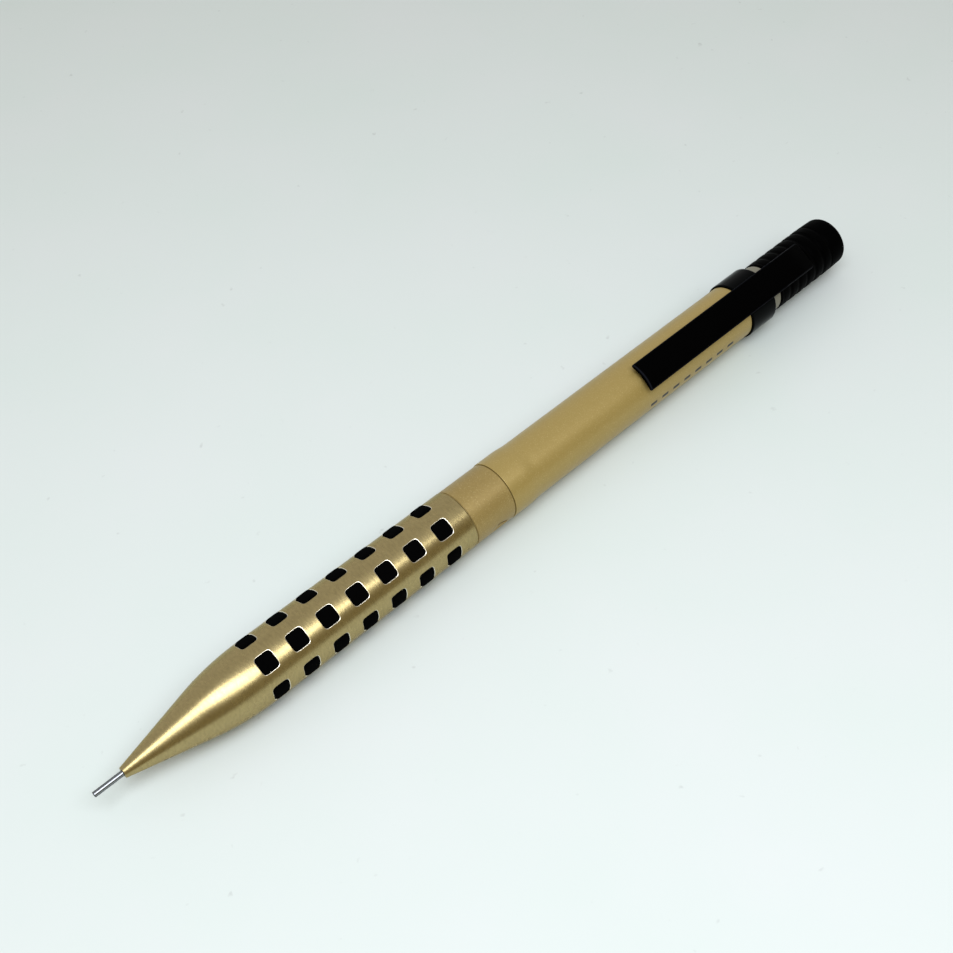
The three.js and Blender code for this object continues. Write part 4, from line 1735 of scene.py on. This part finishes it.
@dataclass
class Studio:
    """The floor, the lights and the camera.

    Attributes:
        aim: the point that the camera looks at, from the middle of the pencil's axis, in mm.
        azimuth: the camera's direction about the vertical, in degrees; 0 looks along +Y.
        elevation: how far the camera looks down, in degrees.
        tilt: the camera's roll about its own line of sight, in degrees.
        distance: from the aim to the camera, in millimetres.
        lens: the camera's focal length, in millimetres.
        sensor: how wide the camera's sensor is, in millimetres.
        floor_size: how wide the floor is, in metres.
        floor_colour: the floor's sRGB colour.
        floor_stray: the sRGB colour that the floor strays to.
        speck_colour: the sRGB colour of the specks on the floor.
        clouds: how many patches of stray colour there are to a metre.
        specks: how many specks there could be to a metre.
        speck_limits: the noise at which a speck starts to show and shows fully.
        speck_share: how strong a full speck is.
        wall_colour: the sRGB colour of the room's upper and far side.
        shade_colour: the sRGB colour of its lower and near side.
        wall_strength: how bright the room is at the height of the horizon.
        ceiling_lift: how much brighter it is at the top.
        height_pull: how much a direction's height counts against its y.
        shade_limits: the sums of y and pulled height between which shade turns to wall.
    """

    aim: Triple = (-3.09, 3.64, 0.0)
    azimuth: float = -41.221
    elevation: float = 49.993
    tilt: float = -2.934
    distance: float = 211.76
    lens: float = 57.57
    sensor: float = 36.0
    floor_size: float = 6.0
    floor_colour: int = 0xD9DCDA
    floor_stray: int = 0xD1DBD4
    speck_colour: int = 0xB4B8B4
    clouds: float = 35.0
    specks: float = 500.0
    speck_limits: Pair = (0.72, 0.8)
    speck_share: float = 0.5
    wall_colour: int = 0xFFFFFF
    shade_colour: int = 0xB8AC88
    wall_strength: float = 0.7
    ceiling_lift: float = -0.1
    height_pull: float = 0.35
    shade_limits: Pair = (-0.6, 0.3)
    softboxes: tuple[Softbox, ...] = (
        Softbox(
            "key_softbox", (-67.9, -41.3), azimuth=4.8, elevation=74.5, distance=0.36,
            width=0.186, height=0.394, power=0.72, spin=37.4, spread=122.8, colour=0xEFF5FF,
        ),
    )

    def camera(self) -> bpy.types.Object:
        """Makes the camera: back from the aim along the line of sight, then rolled.

        Returns:
            The camera's object.
        """
        a, e, t = (math.radians(v) for v in (self.azimuth, self.elevation, self.tilt))
        back = Vector((math.sin(a) * math.cos(e), -math.cos(a) * math.cos(e), math.sin(e)))
        level = Vector((math.cos(a), math.sin(a), 0))
        above = back.cross(level)
        right = level * math.cos(t) + above * math.sin(t)
        up = back.cross(right)
        centre = Vector(PLACE.point(Span.of("press_cap").end / 2, 0, 0))
        data = bpy.data.cameras.new("camera")
        data.lens, data.sensor_width, data.clip_start = self.lens, self.sensor, 0.01
        camera = bpy.data.objects.new("camera", data)
        turn = Matrix((right, up, back)).transposed().to_4x4()
        place = centre + Vector(self.aim) * MM + back * self.distance * MM
        camera.matrix_world = Matrix.Translation(place) @ turn
        bpy.context.scene.collection.objects.link(camera)
        bpy.context.scene.camera = camera
        return camera

    def floor(self) -> bpy.types.Object:
        """Makes the pale desk top that the pencil lies on.

        Returns:
            The floor's object.
        """
        half = self.floor_size / 2
        mesh = bpy.data.meshes.new("floor")
        corners = [(-half, -half, 0), (half, -half, 0), (half, half, 0), (-half, half, 0)]
        mesh.from_pydata(corners, [], [(0, 1, 2, 3)])
        # Matt laminate: pale grey, in faint greenish clouds 3 cm across, with a few small specks.
        material = bpy.data.materials.new("matt_board")
        tree = empty_tree(material)
        place = add_node(tree, "TexCoord").outputs["Object"]
        cloud = add_node(tree, "TexNoise", {"Vector": place, "Scale": self.clouds, "Detail": 4.0})
        fleck = add_node(tree, "TexNoise", {"Vector": place, "Scale": self.specks, "Detail": 2.0})
        low, high = self.speck_limits
        limits = {"Value": fleck.outputs["Fac"], "From Min": low, "From Max": high,
                  "To Max": self.speck_share}
        share = add_node(tree, "MapRange", limits).outputs["Result"]
        tones = {"Factor": cloud.outputs["Fac"], 6: linear(self.floor_colour),
                 7: linear(self.floor_stray)}
        pale = add_node(tree, "Mix", tones, data_type="RGBA").outputs[2]
        marks = {"Factor": share, 6: pale, 7: linear(self.speck_colour)}
        colour = add_node(tree, "Mix", marks, data_type="RGBA").outputs[2]
        inputs = {"Base Color": colour, "Roughness": 0.6, "Specular IOR Level": 0.2}
        shader = add_node(tree, "BsdfPrincipled", inputs)
        add_node(tree, "OutputMaterial", {"Surface": shader.outputs["BSDF"]})
        mesh.materials.append(material)
        floor = bpy.data.objects.new("floor", mesh)
        bpy.context.scene.collection.objects.link(floor)
        return floor

    def room(self) -> None:
        """Sets the soft light that fills the room.

        The far wall (+Y) and the ceiling are white; the near side, low down, is dim and warm.
        The share of white is a smooth step of y + height_pull z between the shade's limits, and
        the light's strength changes by ceiling_lift from the horizon to straight up.
        """
        world = bpy.data.worlds.new("room")
        tree = empty_tree(world)
        towards = add_node(tree, "TexCoord").outputs["Generated"]
        axes = add_node(tree, "SeparateXYZ", {"Vector": towards}).outputs
        terms = {0: axes["Z"], 1: self.height_pull, 2: axes["Y"]}
        height = add_node(tree, "Math", terms, operation="MULTIPLY_ADD").outputs["Value"]
        low, high = self.shade_limits
        limits = {"Value": height, "From Min": low, "From Max": high}
        pale = add_node(tree, "MapRange", limits, interpolation_type="SMOOTHSTEP")
        colours = {"Factor": pale.outputs["Result"], 6: linear(self.shade_colour),
                   7: linear(self.wall_colour)}
        lift = {"Value": axes["Z"], "To Min": self.wall_strength,
                "To Max": self.wall_strength + self.ceiling_lift}
        inputs = {
            "Color": add_node(tree, "Mix", colours, data_type="RGBA").outputs[2],
            "Strength": add_node(tree, "MapRange", lift).outputs["Result"],
        }
        shader = add_node(tree, "Background", inputs)
        add_node(tree, "OutputWorld", {"Surface": shader.outputs["Background"]})
        bpy.context.scene.world = world

    def build(self) -> None:
        """Sets the camera, the floor, the room's light and the softboxes."""
        self.camera()
        self.floor()
        self.room()
        for softbox in self.softboxes:
            softbox.build()
        bpy.context.scene.view_settings.view_transform = "Standard"


def main() -> None:
    """Builds the studio and each unit of the pencil in order, and reports its pieces."""
    logging.basicConfig(level=logging.INFO, format="%(message)s")
    Studio().build()
    materials = {slot: finish.build() for slot, finish in FINISHES.items()}
    for kind in (GripUnit, NoseUnit, BarrelUnit, ClutchUnit, TankUnit, CapUnit):
        unit = kind(materials)
        unit.build()
        unit.report()


if __name__ == "__main__":
    main()
